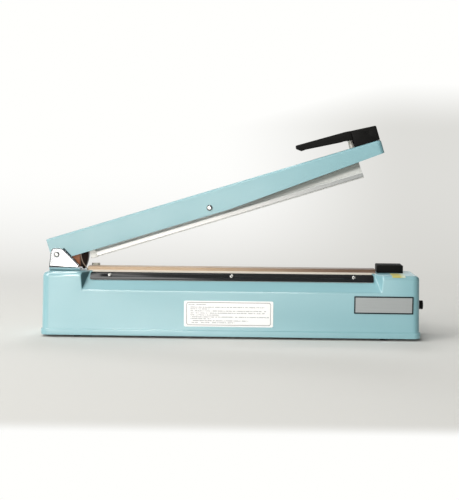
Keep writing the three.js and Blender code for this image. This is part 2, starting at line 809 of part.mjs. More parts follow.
// Sealing seat: bar, heating element and the cloth over them
const barBottom = baseTop + seatGap;
const barTop = barBottom + seatBarHeight;
const elementBottom = barTop + seatGap;
const elementTop = elementBottom + elementThickness;
const coverInside = elementTop + seatGap;
const coverTop = coverInside + coverThickness;
const tabSeat = baseTop + 2 * seatGap + bushFlange;
place('seat_bar', block(-seatLeft, seatRight, -seatHalfWidth, seatHalfWidth, barBottom, barTop), 'aluminium', part);
place('heating_element', block(
  terminalLeftX - terminalLength / 2, terminalRightX + terminalLength / 2,
  -elementHalfWidth, elementHalfWidth, elementBottom, elementTop,
), 'nichrome', part);

function sealCover() {
  const inside = seatHalfWidth + fitGap;
  const outside = inside + coverThickness;
  const onSlope = (down, over) => {
    const v = new THREE.Vector3().applyMatrix4(slopeFrame(down, over));
    return [v.y, v.z];
  };
  const under = (over) => onSlope(0, over);
  const half = (over, width, top) => [onSlope(hemReach, over), under(over), [-width, barBottom + over], [-width, top]];
  const outer = half(seatGap + coverThickness, outside, coverTop);
  const inner = half(seatGap, inside, coverInside);
  const foot = barBottom + seatGap;
  const flip = (points) => points.map(([y, z]) => [-y, z]).reverse();
  const hem = outline([...outer, ...flip(outer), ...inner.slice(0, 4).concat(flip(inner)).reverse()]);
  const crown = outline([
    [-outside, foot], [-outside, coverTop], [outside, coverTop], [outside, foot],
    [inside, foot], [inside, coverInside], [-inside, coverInside], [-inside, foot],
  ]);
  const crownEnd = coverRight - coverThickness;
  const end = block(crownEnd - seatGap, coverRight, -outside, outside, foot, coverTop);
  const tabX = terminalLeftX - terminalLength / 2;
  const window = block(tabX - fitGap, tabX + tabWidth + fitGap, inside - seatGap, outside + seatGap,
    tabSeat - fitGap, tabSeat + tabSheet + fitGap);
  return join(solid(plateYZ(hem, -hemLeft, hemRight)), solid(plateYZ(crown, -coverLeft, crownEnd)), solid(end))
    .subtract(solid(window));
}
place('seal_cover', sealCover(), 'glassCloth', part);

// Terminals with insulating bushes through the housing's top
const terminalNames = ['left', 'right'];
terminalX.forEach((x, i) => {
  const flangeTop = baseTop + seatGap + bushFlange;
  const bottom = baseTop - bushLength;
  const bush = revolved([
    [terminalPostRadius + seatGap, bottom], [bushRadius, bottom], [bushRadius, baseTop + seatGap],
    [bushFlangeRadius, baseTop + seatGap], [bushFlangeRadius, flangeTop],
    [terminalPostRadius + seatGap, flangeTop], [terminalPostRadius + seatGap, bottom],
  ]).rotateX(pi2);
  place(`terminal_bush_${terminalNames[i]}`, bush.translate(x, 0, 0), 'bush', part);
  const seat = tabSeat;
  const top = elementBottom - seatGap;
  const half = terminalLength / 2;
  const post = roundBar(terminalPostRadius, terminalPostLength + seat - baseTop, 'z', x, 0, baseTop - terminalPostLength);
  let terminal = join(solid(block(x - half, x + half, -terminalHalfWidth, terminalHalfWidth, seat, top)), solid(post));
  if (i === 0) {
    const tabFoot = block(x - half, x - half + tabWidth, 0, tabReach, seat, seat + tabSheet);
    terminal = join(terminal, solid(tabFoot), solid(block(
      x - half, x - half + tabLength, tabReach - tabSheet, tabReach, seat, coverTop + tabRise)));
  }
  place(`terminal_${terminalNames[i]}`, terminal, 'brass', part);
});

// Clamp strips on the front and rear slopes with their screws
function clampStrip() {
  const s = roundedRectangle(-stripLeft, stripRight, -stripWidth, 0, stripCorner);
  for (const x of stripScrewX) {
    const hole = new THREE.Path();
    hole.absarc(x, -stripScrewDrop, screwHoleRadius, 0, 2 * Math.PI, true);
    s.holes.push(hole);
  }
  return plateXY(s, 0, stripThickness, 3);
}
const stripOver = coverThickness + 2 * seatGap;
const strip = clampStrip().applyMatrix4(slopeFrame(stripDrop, stripOver));
place('clamp_strip_front', strip, 'blackGloss', part);
place('clamp_strip_rear', mirroredY(strip), 'blackGloss', part);
stripScrewX.forEach((x, i) => {
  const over = stripOver + stripThickness + seatGap;
  const bolt = screw(stripScrewLength).rotateX(pi2).applyMatrix4(slopeFrame(stripScrewDown, over)).translate(x, 0, 0);
  place(`clamp_screw_front_${i + 1}`, bolt, 'screwSteel', part);
  place(`clamp_screw_rear_${i + 1}`, mirroredY(bolt), 'screwSteel', part);
});

// Hollow cover on the housing's right end
function terminalCover() {
  const bottom = baseTop + seatGap;
  const outer = plateXZ(roundedRectangle(capLeft, capLeft + capLength, bottom - capRound, bottom + capHeight, capRound),
    capFront, capFront + capDepth);
  const trim = block(capLeft - cutOver, capLeft + capLength + cutOver, capFront - cutOver,
    capFront + capDepth + cutOver, bottom - capRound - cutOver, bottom);
  const inner = block(capLeft + capWall, capLeft + capLength - capWall, capFront + capWall,
    capFront + capDepth - capWall, bottom - cutOver, bottom + capHeight - capWall);
  return cut(solid(outer), solid(trim), solid(inner));
}
place('terminal_cover', terminalCover(), 'blackPlastic', part);

// Flat pieces on the front wall follow its draft
function frontPlate(left, width, bottom, height, thickness, corner) {
  const frame = new THREE.Matrix4().makeRotationX(Math.atan2(bodyHalfY(bottom) - bodyHalfY(bottom + height), height));
  const face = plateXZ(roundedRectangle(0, width, 0, height, corner), -seatGap - thickness, -seatGap, 3);
  const back = Math.atan2(bodyHalfY(bottom) - bodyHalfY(bottom + height), height);
  frame.makeRotationX(-back);
  return face.applyMatrix4(frame).translate(left, -bodyHalfY(bottom), bottom);
}
place('instruction_label', frontPlate(-labelLeft, labelWidth, labelBottom, labelHeight, labelThickness, labelCorner),
  'paper', part);
place('name_plate', frontPlate(namePlateLeft, namePlateWidth, namePlateBottom, namePlateHeight,
  namePlateThickness, labelCorner / 2), 'silverPlate', part);

// Plain sticker that wraps from the top over the front edge
function edgeSticker() {
  const inset = bodyHalfY(baseTop - topFillet) - topFillet;
  const turn = stickerTurnDeg * degree;
  const s = new THREE.Shape();
  const inner = topFillet + seatGap * 2;
  const outer = inner + labelThickness;
  const centre = baseTop - topFillet;
  s.moveTo(-stickerBack, centre + outer);
  s.lineTo(-inset, centre + outer);
  s.absarc(-inset, centre, outer, pi2, pi2 + turn);
  s.absarc(-inset, centre, inner, pi2 + turn, pi2, true);
  s.lineTo(-stickerBack, centre + inner);
  return plateYZ(s, stickerLeft, stickerLeft + stickerWidth, 5);
}
place('edge_sticker', edgeSticker(), 'yellow', part);

// Transformer: laminated core with two windows, coil round its middle leg, and a strap
function transformerCore() {
  const z0 = plateTop + seatGap;
  const z1 = z0 + coreHeight;
  const yoke = (coreHeight - (coreHeight - coreLeg)) / 2;
  let core = solid(block(-coreX - coreWidth / 2, -coreX + coreWidth / 2, -coreDepth / 2, coreDepth / 2, z0, z1));
  for (const side of [-1, 1]) {
    const inner = -coreX + side * coreLeg / 2;
    const outer = inner + side * coreWindow;
    core = cut(core, solid(block(Math.min(inner, outer), Math.max(inner, outer),
      -coreDepth / 2 - cutOver, coreDepth / 2 + cutOver, z0 + yoke, z1 - yoke)));
  }
  return core;
}
place('transformer_core', transformerCore(), 'laminations', part);
function transformerCoil() {
  const z0 = plateTop + seatGap + coreLeg / 2 + coilGap;
  const z1 = plateTop + seatGap + coreHeight - coreLeg / 2 - coilGap;
  const half = coreLeg / 2 + coreWindow - coilGap;
  const outer = block(-coreX - half, -coreX + half, -coilDepth / 2, coilDepth / 2, z0, z1);
  const hole = block(-coreX - coreLeg / 2 - coilGap, -coreX + coreLeg / 2 + coilGap,
    -coreDepth / 2 - coilGap, coreDepth / 2 + coilGap, z0 - cutOver, z1 + cutOver);
  return cut(solid(outer), solid(hole));
}
place('transformer_coil', transformerCoil(), 'copper', part);
function transformerStrap() {
  const inner = coreWidth / 2 + fitGap;
  const outer = inner + strapSheet;
  const z0 = plateTop + seatGap;
  const top = z0 + coreHeight + fitGap;
  const s = outline([
    [-coreX - outer - strapFoot, z0], [-coreX - inner, z0], [-coreX - inner, top], [-coreX + inner, top],
    [-coreX + inner, z0], [-coreX + outer + strapFoot, z0], [-coreX + outer + strapFoot, z0 + strapSheet],
    [-coreX + outer, z0 + strapSheet], [-coreX + outer, top + strapSheet], [-coreX - outer, top + strapSheet],
    [-coreX - outer, z0 + strapSheet], [-coreX - outer - strapFoot, z0 + strapSheet],
  ]);
  return plateXZ(s, -coreDepth / 4, coreDepth / 4);
}
place('transformer_strap', transformerStrap(), 'bareSteel', part);

// Timer: board, potentiometer, shaft and knob on the right end wall
const endWall = bodyHalfX(timerHeight);
const potEnd = endWall - shellWall - fitGap;
const potStart = potEnd - potLength;
const boardEnd = potStart - seatGap;
place('timer_board', block(boardEnd - boardThickness, boardEnd, -boardHalfDepth, boardHalfDepth,
  timerHeight - boardHeight / 2, timerHeight + boardHeight / 2), 'board', part);
const shaftBore = (timerShaftRadius + seatGap) / Math.cos(Math.PI / roundSides);
place('timer_potentiometer', cut(
  solid(roundBar(potRadius, potLength, 'x', potStart, 0, timerHeight, 16)),
  solid(roundBar(shaftBore, potBoreDepth + cutOver, 'x', potEnd - potBoreDepth, 0, timerHeight)),
), 'bareSteel', part);
const shaftEnd = endWall + seatGap + knobBoreDepth - fitGap;
const shaftStart = potEnd - potBoreDepth + fitGap;
place('timer_shaft', roundBar(timerShaftRadius, shaftEnd - shaftStart, 'x', shaftStart, 0, timerHeight),
  'screwSteel', part);
const knobStart = endWall + fitGap;
const knob = revolved([
  [timerShaftRadius + seatGap, 0], [knobRadius, 0], [knobRadius, knobSkirt], [knobTipRadius, knobSkirt + knobDome],
  [knobTipRadius, knobLength - knobDome], [knobTipRadius - knobDome, knobLength], [0, knobLength],
  [0, knobBoreDepth], [timerShaftRadius + seatGap, knobBoreDepth], [timerShaftRadius + seatGap, 0],
], 20);
place('timer_knob', knob.rotateZ(-pi2).translate(knobStart, 0, timerHeight), 'blackPlastic', part);

// Strain relief of the cord at the back, with its bore open
const glandWall = bodyHalfY(glandHeight - glandFlangeRadius) + seatGap;
const gland = revolved([
  [glandBore, glandFlange - glandLength], [glandRadius, glandFlange - glandLength], [glandRadius, 0],
  [glandFlangeRadius, 0], [glandFlangeRadius - glandFlange / 2, glandFlange], [glandBore, glandFlange],
  [glandBore, glandFlange - glandLength],
], 16);
place('cord_gland', gland.translate(glandX, glandWall, glandHeight), 'rubber', part);

// Arm group, turned up to its rest angle about the hinge bolt
const arm = new THREE.Group();
arm.position.set(-hingeX, 0, hingeZ);
arm.rotation.y = -armRestDeg * degree;
part.add(arm);

// Arm: a channel that is open below and tapers to its front end
function armBlock(inset) {
  const half = armHalfWidth - inset;
  const top = armTop - inset;
  const bend = armBend - inset;
  const deep = inset > 0 ? cutOver : 0;
  const start = -armTail - deep;
  const end = armReach - inset;
  const low = -armDrop - armTop;
  const section = new THREE.Shape();
  section.moveTo(-half, low);
  section.lineTo(half, low);
  section.lineTo(half, top - bend);
  section.absarc(half - bend, top - bend, bend, 0, pi2);
  section.lineTo(-half + bend, top);
  section.absarc(-half + bend, top - bend, bend, pi2, Math.PI);
  const lower = inset > 0 ? armTop : 0;
  const side = outline([
    [start, -armDrop - lower], [armTaperStart, -armDrop - lower], [end, armEndDrop - lower],
    [end, top - armBend], [end - armEndSlope, top], [start, top],
  ]);
  const corner = armEndCorner - inset;
  const plan = new THREE.Shape();
  plan.moveTo(start, -half);
  plan.lineTo(end - corner, -half);
  plan.absarc(end - corner, -half + corner, corner, -pi2, 0);
  plan.absarc(end - corner, half - corner, corner, 0, pi2);
  plan.lineTo(start, half);
  return solid(plateYZ(section, start, end))
    .intersect(solid(plateXZ(side, -half - cutOver, half + cutOver)))
    .intersect(solid(plateXY(plan, low - cutOver, armTop + cutOver, ringSteps)));
}
const crossHole = (radius, u, v) => solid(roundBar(radius, 2 * (armHalfWidth + cutOver), 'y', u, -armHalfWidth - cutOver, v));
const topHole = (radius, u) => solid(roundBar(radius, armSheet + 2 * cutOver, 'z', u, 0, armTop - armSheet - cutOver));
place('arm_channel', cut(armBlock(0), armBlock(armSheet), crossHole(boltHoleRadius, 0, 0),
  crossHole(pivotHoleRadius, barPivotU, barPivotV), topHole(plungerHoleRadius, plungerU),
  ...handleScrewPlaces.map((u) => topHole(screwHoleRadius, u))), 'paint', arm);

// Pressing bar on its pivot screw
const bar = new THREE.Group();
bar.position.set(barPivotU, 0, barPivotV);
arm.add(bar);
const inBar = (geometry) => geometry.translate(-barPivotU, 0, -barPivotV);
function pressingBar() {
  const section = outline([
    [-barFootHalfWidth, -barFootBottom], [barFootHalfWidth, -barFootBottom], [barFootHalfWidth, -barFootTop - barLipHeight],
    [barFootHalfWidth - barLipHeight, -barFootTop], [barWebHalfWidth, -barFootTop], [barWebHalfWidth, barWebTop],
    [-barWebHalfWidth, barWebTop], [-barWebHalfWidth, -barFootTop], [-barFootHalfWidth + barLipHeight, -barFootTop],
    [-barFootHalfWidth, -barFootTop - barLipHeight],
  ]);
  const side = outline([
    [barLeft, -siliconeBottom], [barRight, -siliconeBottom], [barWebRight, -barFootTop],
    [barWebRight, barWebTop + cutOver], [barLeft, barWebTop + cutOver],
  ]);
  const hole = roundBar(pivotHoleRadius, 2 * barFootHalfWidth, 'y', barPivotU, -barFootHalfWidth, barPivotV);
  const body = solid(plateYZ(section, barLeft, barRight))
    .intersect(solid(plateXZ(side, -armHalfWidth, armHalfWidth)));
  return geometryOf(cut(body, solid(hole)));
}
place('pressing_bar', inBar(pressingBar()), 'aluminium', bar);
place('silicone_strip', inBar(block(barLeft, barRight - fitGap, -siliconeHalfWidth, siliconeHalfWidth,
  -siliconeBottom, -barFootBottom - fitGap)), 'silicone', bar);
place('bar_end_block', inBar(block(barLeft - fitGap - capBlockThickness, barLeft - fitGap,
  -capBlockHalfWidth, capBlockHalfWidth, -capBlockBottom, -capBlockTop)), 'cream', bar);
const pivotSeat = armHalfWidth + fitGap;
place('bar_pivot_screw', screw(2 * pivotSeat + pivotNutHeight, pivotHeadRadius, pivotHeadHeight, pivotScrewRadius)
  .rotateX(Math.PI).translate(barPivotU, -pivotSeat, barPivotV), 'screwSteel', arm);
place('bar_pivot_nut', hexagon(pivotNutAcross, pivotNutHeight, pivotScrewRadius + seatGap)
  .translate(barPivotU, pivotSeat, barPivotV), 'screwSteel', arm);

// Handle block with a slot for the grip's tail
const handleStart = handleEnd - handleLength;
const handleBottom = armTop + fitGap;
function handleBlock() {
  const s = new THREE.Shape();
  s.moveTo(handleStart, handleBottom);
  s.lineTo(handleEnd, handleBottom);
  s.lineTo(handleEnd, armTop + handleHeight - handleFall - handleRound);
  s.quadraticCurveTo(handleEnd, armTop + handleHeight - handleFall, handleEnd - handleRound,
    armTop + handleHeight - handleFall);
  s.lineTo(handleStart, armTop + handleHeight);
  const slot = block(handleStart - cutOver, handleEnd - slotBackWall, -slotHalfWidth, slotHalfWidth,
    handleBottom + handleFloor, armTop + handleHeight + cutOver);
  const pin = roundBar(gripPinHoleRadius, 2 * (handleHalfWidth + cutOver), 'y', gripPivotU,
    -handleHalfWidth - cutOver, armTop + gripPivotRise);
  let body = cut(solid(plateXZ(s, -handleHalfWidth, handleHalfWidth)), solid(slot), solid(pin));
  for (const u of handleScrewPlaces) {
    body = cut(body, solid(roundBar(screwShankRadius + seatGap, handleFloor + 2 * cutOver, 'z', u, 0,
      handleBottom - cutOver)));
  }
  return body;
}
place('handle_block', handleBlock(), 'blackPlastic', arm);
handleScrewPlaces.forEach((u, i) => {
  const seat = armTop - armSheet - fitGap;
  place(`handle_screw_${i + 1}`, screw(handleScrewLength).rotateX(-pi2).translate(u, 0, seat), 'screwSteel', arm);
});

// Squeeze grip that turns on a cross pin in the block
const gripEnd = handleStart - gripRunGap;
function gripLever() {
  const s = outline(gripOutlineShares.map(([along, up]) => [gripEnd - along * gripLength, armTop + up * gripRise]));
  const grip = plateXZ(s, -handleHalfWidth, handleHalfWidth);
  const tail = block(gripEnd - gripRunGap, gripEnd + gripTailReach, -gripTailHalfWidth, gripTailHalfWidth,
    armTop + gripTailBottom, armTop + gripTailTop);
  const hole = roundBar(gripPinHoleRadius, 2 * (handleHalfWidth + cutOver), 'y', gripPivotU,
    -handleHalfWidth - cutOver, armTop + gripPivotRise);
  return cut(join(solid(grip), solid(tail)), solid(hole));
}
place('grip_lever', gripLever(), 'blackPlastic', arm);
place('grip_pivot_pin', roundBar(gripPinRadius, 2 * (handleHalfWidth - fitGap), 'y', gripPivotU,
  -handleHalfWidth + fitGap, armTop + gripPivotRise), 'screwSteel', arm);

// Plunger under the grip, its return spring and the switch that it works
const plunger = revolved([
  [0, -plungerBottom], [plungerRadius, -plungerBottom], [plungerRadius, plungerTop - plungerCollarHeight],
  [plungerCollarRadius, plungerTop - plungerCollarHeight], [plungerCollarRadius, plungerTop], [0, plungerTop],
]);
place('switch_plunger', plunger.rotateX(pi2).translate(plungerU, 0, armTop), 'screwSteel', arm);
function returnSpring() {
  const low = armTop + fitGap;
  const high = armTop + plungerTop - plungerCollarHeight - fitGap;
  const stub = 2 * coilWireRadius;
  const span = high - low - 2 * stub;
  const steps = coilTurns * stepsPerCurl;
  const points = [];
  for (let i = 0; i <= steps; i += 1) {
    const a = 2 * Math.PI * i / stepsPerCurl;
    points.push(new THREE.Vector3(plungerU + coilMeanRadius * Math.cos(a), coilMeanRadius * Math.sin(a),
      low + stub + span * i / steps));
  }
  reportGap('grip_spring', points, coilWireRadius, stepsPerCurl);
  points.unshift(points[0].clone().setZ(low));
  points.push(points[points.length - 1].clone().setZ(high));
  return wire(points, coilWireRadius);
}
place('grip_spring', returnSpring(), 'springSteel', arm);
const switchBody = join(
  solid(block(plungerU - switchHalfLength, plungerU + switchHalfLength, -switchHalfWidth, switchHalfWidth,
    switchTop - switchHeight, switchTop)),
  solid(roundBar(switchButtonRadius, switchHeight / 2 + switchButtonHeight, 'z', plungerU, 0, switchTop - switchHeight / 2)),
);
place('micro_switch', switchBody, 'blackPlastic', arm);
const plateSide = switchHalfWidth + fitGap;
const plateCeiling = armTop - armSheet - fitGap;
place('switch_bracket', plateYZ(outline([
  [plateSide, switchTop - switchHeight], [plateSide + switchPlate, switchTop - switchHeight],
  [plateSide + switchPlate, plateCeiling - switchPlate], [plateSide + switchPlateReach, plateCeiling - switchPlate],
  [plateSide + switchPlateReach, plateCeiling], [plateSide, plateCeiling],
]), plungerU - switchHalfLength, plungerU + switchHalfLength - screwHeadRadius), 'bareSteel', arm);

export default part;
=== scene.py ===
import json
import math
import bpy
from mathutils import Matrix, Vector


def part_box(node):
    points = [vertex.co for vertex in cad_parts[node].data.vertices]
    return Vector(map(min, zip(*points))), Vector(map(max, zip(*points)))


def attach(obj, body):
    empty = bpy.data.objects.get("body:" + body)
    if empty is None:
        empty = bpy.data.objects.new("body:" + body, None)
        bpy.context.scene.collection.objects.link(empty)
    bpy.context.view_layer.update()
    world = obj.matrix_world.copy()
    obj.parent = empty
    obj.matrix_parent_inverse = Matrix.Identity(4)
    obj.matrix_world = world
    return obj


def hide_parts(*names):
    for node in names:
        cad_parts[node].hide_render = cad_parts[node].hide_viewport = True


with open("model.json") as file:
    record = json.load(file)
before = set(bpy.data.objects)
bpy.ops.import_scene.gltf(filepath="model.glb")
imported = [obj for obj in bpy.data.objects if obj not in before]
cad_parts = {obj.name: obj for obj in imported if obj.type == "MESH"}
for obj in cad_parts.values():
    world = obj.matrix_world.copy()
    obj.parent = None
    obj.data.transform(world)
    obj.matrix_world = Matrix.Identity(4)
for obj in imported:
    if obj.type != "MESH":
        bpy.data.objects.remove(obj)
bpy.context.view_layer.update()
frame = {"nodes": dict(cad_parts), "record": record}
nodes = frame["nodes"]
mm = 0.001
print("frame loaded")

# where things stand, in millimetres
spots = {
    "baseMiddle": -4.3475,
    "pinX": -246.8475,
    "pinZ": 112.0,
    "armAngle": 17.2,
    "baseTop": 89.5,
    "sill": 66.0,
    "sillHalf": 38.43,
    "ridgeHalf": 13.7,
    "plungerAlong": 435.0,
}
square = 0.9  # a face whose normal has more than this along an axis faces that way
slopeAngle = math.atan2(spots["baseTop"] - spots["sill"], spots["sillHalf"] - spots["ridgeHalf"])
slopeUp = (math.sin(slopeAngle), math.cos(slopeAngle))  # out and up from the base's sloping sides


# handling of pieces
def pickNothing():
    bpy.ops.object.select_all(action="DESELECT")


def startEditing():
    bpy.ops.object.mode_set(mode="EDIT")


def stopEditing():
    bpy.ops.object.mode_set(mode="OBJECT")


def activate(piece):
    if bpy.context.object and bpy.context.object.mode != "OBJECT":
        stopEditing()
    pickNothing()
    piece.select_set(True)
    bpy.context.view_layer.objects.active = piece


def applyPlace():
    bpy.ops.object.transform_apply(location=True, rotation=True, scale=True)


def addBox(name, low, high):
    size = [(b - a) * mm for a, b in zip(low, high)]
    middle = [(a + b) / 2 * mm for a, b in zip(low, high)]
    pickNothing()
    bpy.ops.mesh.primitive_cube_add(size=1, location=middle, scale=size)
    bpy.context.object.name = name
    applyPlace()
    return bpy.context.object


def addRod(name, radius, start, axis, length, sides=32):
    turns = {"x": (0, math.pi / 2, 0), "y": (-math.pi / 2, 0, 0), "z": (0, 0, 0)}
    along = {"x": Vector((1, 0, 0)), "y": Vector((0, 1, 0)), "z": Vector((0, 0, 1))}[axis]
    middle = (Vector(start) + along * length / 2) * mm
    pickNothing()
    bpy.ops.mesh.primitive_cylinder_add(
        vertices=sides, radius=radius * mm, depth=length * mm, location=middle, rotation=turns[axis])
    bpy.context.object.name = name
    applyPlace()
    return bpy.context.object


def clearPicks(piece, mode):
    activate(piece)
    startEditing()
    bpy.ops.mesh.select_mode(type=mode)
    bpy.ops.mesh.select_all(action="DESELECT")
    stopEditing()


def pickFaces(piece, test):
    clearPicks(piece, "FACE")
    for face in piece.data.polygons:
        face.select = bool(test(face.center / mm, face.normal))
    startEditing()


def pickEdges(piece, degrees, test):
    clearPicks(piece, "EDGE")
    normals = {}
    for face in piece.data.polygons:
        for key in face.edge_keys:
            normals.setdefault(key, []).append(face.normal.copy())
    points = piece.data.vertices
    for edge in piece.data.edges:
        beside = normals.get(edge.key, [])
        sharp = len(beside) == 2 and beside[0].angle(beside[1], 0) > math.radians(degrees)
        a, b = (points[i].co / mm for i in edge.vertices)
        edge.select = bool(sharp and test(a, b))
    startEditing()


def bevelPicked(width, steps, kind="OFFSET"):
    bpy.ops.mesh.bevel(offset=width * mm, offset_type=kind, segments=steps, profile=0.5, affect="EDGES",
                       clamp_overlap=True)
    stopEditing()


def extrudePicked(x, y, z):
    bpy.ops.mesh.extrude_region_move(TRANSFORM_OT_translate={"value": (x * mm, y * mm, z * mm)})


def dropFaces(piece, test):
    pickFaces(piece, test)
    bpy.ops.mesh.delete(type="FACE")
    stopEditing()


def roundEdges(piece, width, steps, degrees, test=lambda a, b: True, kind="OFFSET"):
    pickEdges(piece, degrees, test)
    bevelPicked(width, steps, kind)


def carve(piece, cutter, how="DIFFERENCE"):
    activate(piece)
    modifier = piece.modifiers.new("carve", "BOOLEAN")
    modifier.operation = how
    modifier.object = cutter
    modifier.solver = "EXACT"
    bpy.ops.object.modifier_apply(modifier=modifier.name)
    bpy.data.objects.remove(cutter, do_unlink=True)


def mergePoints(piece, flatten=0.0, reach=0.002):
    activate(piece)
    startEditing()
    bpy.ops.mesh.select_all(action="SELECT")
    if reach:
        bpy.ops.mesh.remove_doubles(threshold=reach * mm)
    if flatten:
        bpy.ops.mesh.dissolve_limited(angle_limit=math.radians(flatten))
    bpy.ops.mesh.normals_make_consistent(inside=False)
    stopEditing()


def addObject(name, data):
    added = bpy.data.objects.new(name, data)
    bpy.context.collection.objects.link(added)
    return added


def copyOf(nodeName):
    piece = addObject(nodeName + "_shaped", nodes[nodeName].data.copy())
    mergePoints(piece, 1.0)
    return piece


def bevelAll(piece, width, steps, degrees=28):
    activate(piece)
    modifier = piece.modifiers.new("edges", "BEVEL")
    modifier.width = width * mm
    modifier.segments = steps
    modifier.limit_method = "ANGLE"
    modifier.angle_limit = math.radians(degrees)
    bpy.ops.object.modifier_apply(modifier=modifier.name)


def shellOf(piece, wall, offset=-1, even=True):
    activate(piece)
    modifier = piece.modifiers.new("wall", "SOLIDIFY")
    modifier.thickness = wall * mm
    modifier.offset = offset
    modifier.use_even_offset = even
    bpy.ops.object.modifier_apply(modifier=modifier.name)


def settle(piece, body, slotName, *replaced, smooth=30, look=None):
    activate(piece)
    applyPlace()
    bpy.ops.object.shade_smooth_by_angle(angle=math.radians(smooth))
    piece.data.materials.clear()
    piece.data.materials.append(finishes[slotName])
    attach(piece, body)
    if replaced:
        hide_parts(*replaced)
    if look:  # a finish of its own in its node's slot
        piece.data.materials[0] = finishes[look]


def addSecondFinish(piece, name, test):  # on the faces where test(middle, normal) holds
    piece.data.materials.append(finishes[name])
    slot = len(piece.data.materials) - 1
    for face in piece.data.polygons:
        if test(face.center / mm, face.normal):
            face.material_index = slot


def ontoArm(piece):
    activate(piece)
    piece.rotation_euler = (0, -math.radians(spots["armAngle"]), 0)
    piece.location = (spots["pinX"] * mm, 0, spots["pinZ"] * mm)
    applyPlace()


# finishes
def linear(colour):
    return [((c / 255 + 0.055) / 1.055) ** 2.4 if c > 10 else c / 255 / 12.92 for c in colour]


def addMath(tree, how, first, second=None, clamp=False):
    step = tree.nodes.new("ShaderNodeMath")
    step.operation = how
    step.use_clamp = clamp
    for socket, value in zip(step.inputs, (first, second)):
        if value is None:
            continue
        if isinstance(value, (int, float)):
            socket.default_value = value
        else:
            tree.links.new(value, socket)
    return step.outputs[0]


def addRange(tree, value, *ends, kind="SMOOTHSTEP"):
    step = tree.nodes.new("ShaderNodeMapRange")
    step.interpolation_type = kind
    for key, end in zip(("From Min", "From Max", "To Min", "To Max"), ends):
        step.inputs[key].default_value = end
    tree.links.new(value, step.inputs["Value"])
    return step.outputs["Result"]


def addFade(tree, value, low, high):  # 0 below low millimetres, 1 above high
    return addRange(tree, value, low * mm, high * mm)


def addShaderMix(tree, factor, first, second):
    step = tree.nodes.new("ShaderNodeMixShader")
    for socket, source in zip(step.inputs, (factor, first, second)):
        tree.links.new(source, socket)
    return step.outputs["Shader"]


def addMix(tree, factor, first, second):
    step = tree.nodes.new("ShaderNodeMix")
    step.data_type = "RGBA"
    tree.links.new(factor, step.inputs["Factor"])
    for key, value in (("A", first), ("B", second)):
        socket = next(k for k in step.inputs if k.name == key and k.type == "RGBA")
        if isinstance(value, (list, tuple)):
            socket.default_value = (*value[:3], 1)
        else:
            tree.links.new(value, socket)
    return next(k for k in step.outputs if k.type == "RGBA")


def addNoise(tree, vector, scale, detail):
    step = tree.nodes.new("ShaderNodeTexNoise")
    step.inputs["Scale"].default_value = scale
    step.inputs["Detail"].default_value = detail
    tree.links.new(vector, step.inputs["Vector"])
    return step.outputs["Fac"]


usualLook = {  # what a finish has unless its own row says otherwise
    "metallic": 0.0,
    "coat": 0.0,
    "coatRoughness": 0.08,
    "coatIor": 1.5,
    "specular": 0.5,
    "stretch": (1, 1, 1),
    "turn": (0, 0, 0),
    "scale": 300,
    "grainDetail": 4,
    "grain": (0.35, 0.65),
    "shade": 0.94,
    "smearScale": 22,
    "smearDetail": 3,
    "smear": (0.3, 0.7),
    "smearShares": (0.88, 1.14),  # of its roughness, where it has been wiped and where it hasn't
    "bump": 0.05,
    "depth": 0.05,
}
shaderSockets = {
    "metallic": "Metallic",
    "coat": "Coat Weight",
    "coatRoughness": "Coat Roughness",
    "coatIor": "Coat IOR",
    "specular": "Specular IOR Level",
}


def makeFinish(name, ownLook):
    look = {**usualLook, **ownLook}
    material = bpy.data.materials.new(name)
    material.use_nodes = True
    tree = material.node_tree
    link = tree.links.new
    shader = tree.nodes["Principled BSDF"]
    for key, socketName in shaderSockets.items():
        shader.inputs[socketName].default_value = look[key]
    place = tree.nodes.new("ShaderNodeTexCoord")
    stretch = tree.nodes.new("ShaderNodeMapping")
    stretch.inputs["Scale"].default_value = look["stretch"]
    stretch.inputs["Rotation"].default_value = [math.radians(d) for d in look["turn"]]
    link(place.outputs["Object"], stretch.inputs["Vector"])
    grain = addNoise(tree, stretch.outputs["Vector"], look["scale"], look["grainDetail"])
    ramp = tree.nodes.new("ShaderNodeValToRGB")
    light = linear(look["colour"])
    dark = [c * look["shade"] for c in light]
    for end, position, colour in zip(ramp.color_ramp.elements, look["grain"], (dark, light)):
        end.position = position
        end.color = (*colour, 1)
    link(grain, ramp.inputs["Fac"])
    link(ramp.outputs["Color"], shader.inputs["Base Color"])
    smear = addNoise(tree, place.outputs["Object"], look["smearScale"], look["smearDetail"])
    roughness = [look["roughness"] * share for share in look["smearShares"]]
    link(addRange(tree, smear, *look["smear"], *roughness, kind="LINEAR"), shader.inputs["Roughness"])
    bump = tree.nodes.new("ShaderNodeBump")
    bump.inputs["Strength"].default_value = look["bump"]
    bump.inputs["Distance"].default_value = look["depth"] * mm
    link(grain, bump.inputs["Height"])
    link(bump.outputs["Normal"], shader.inputs["Normal"])
    return material


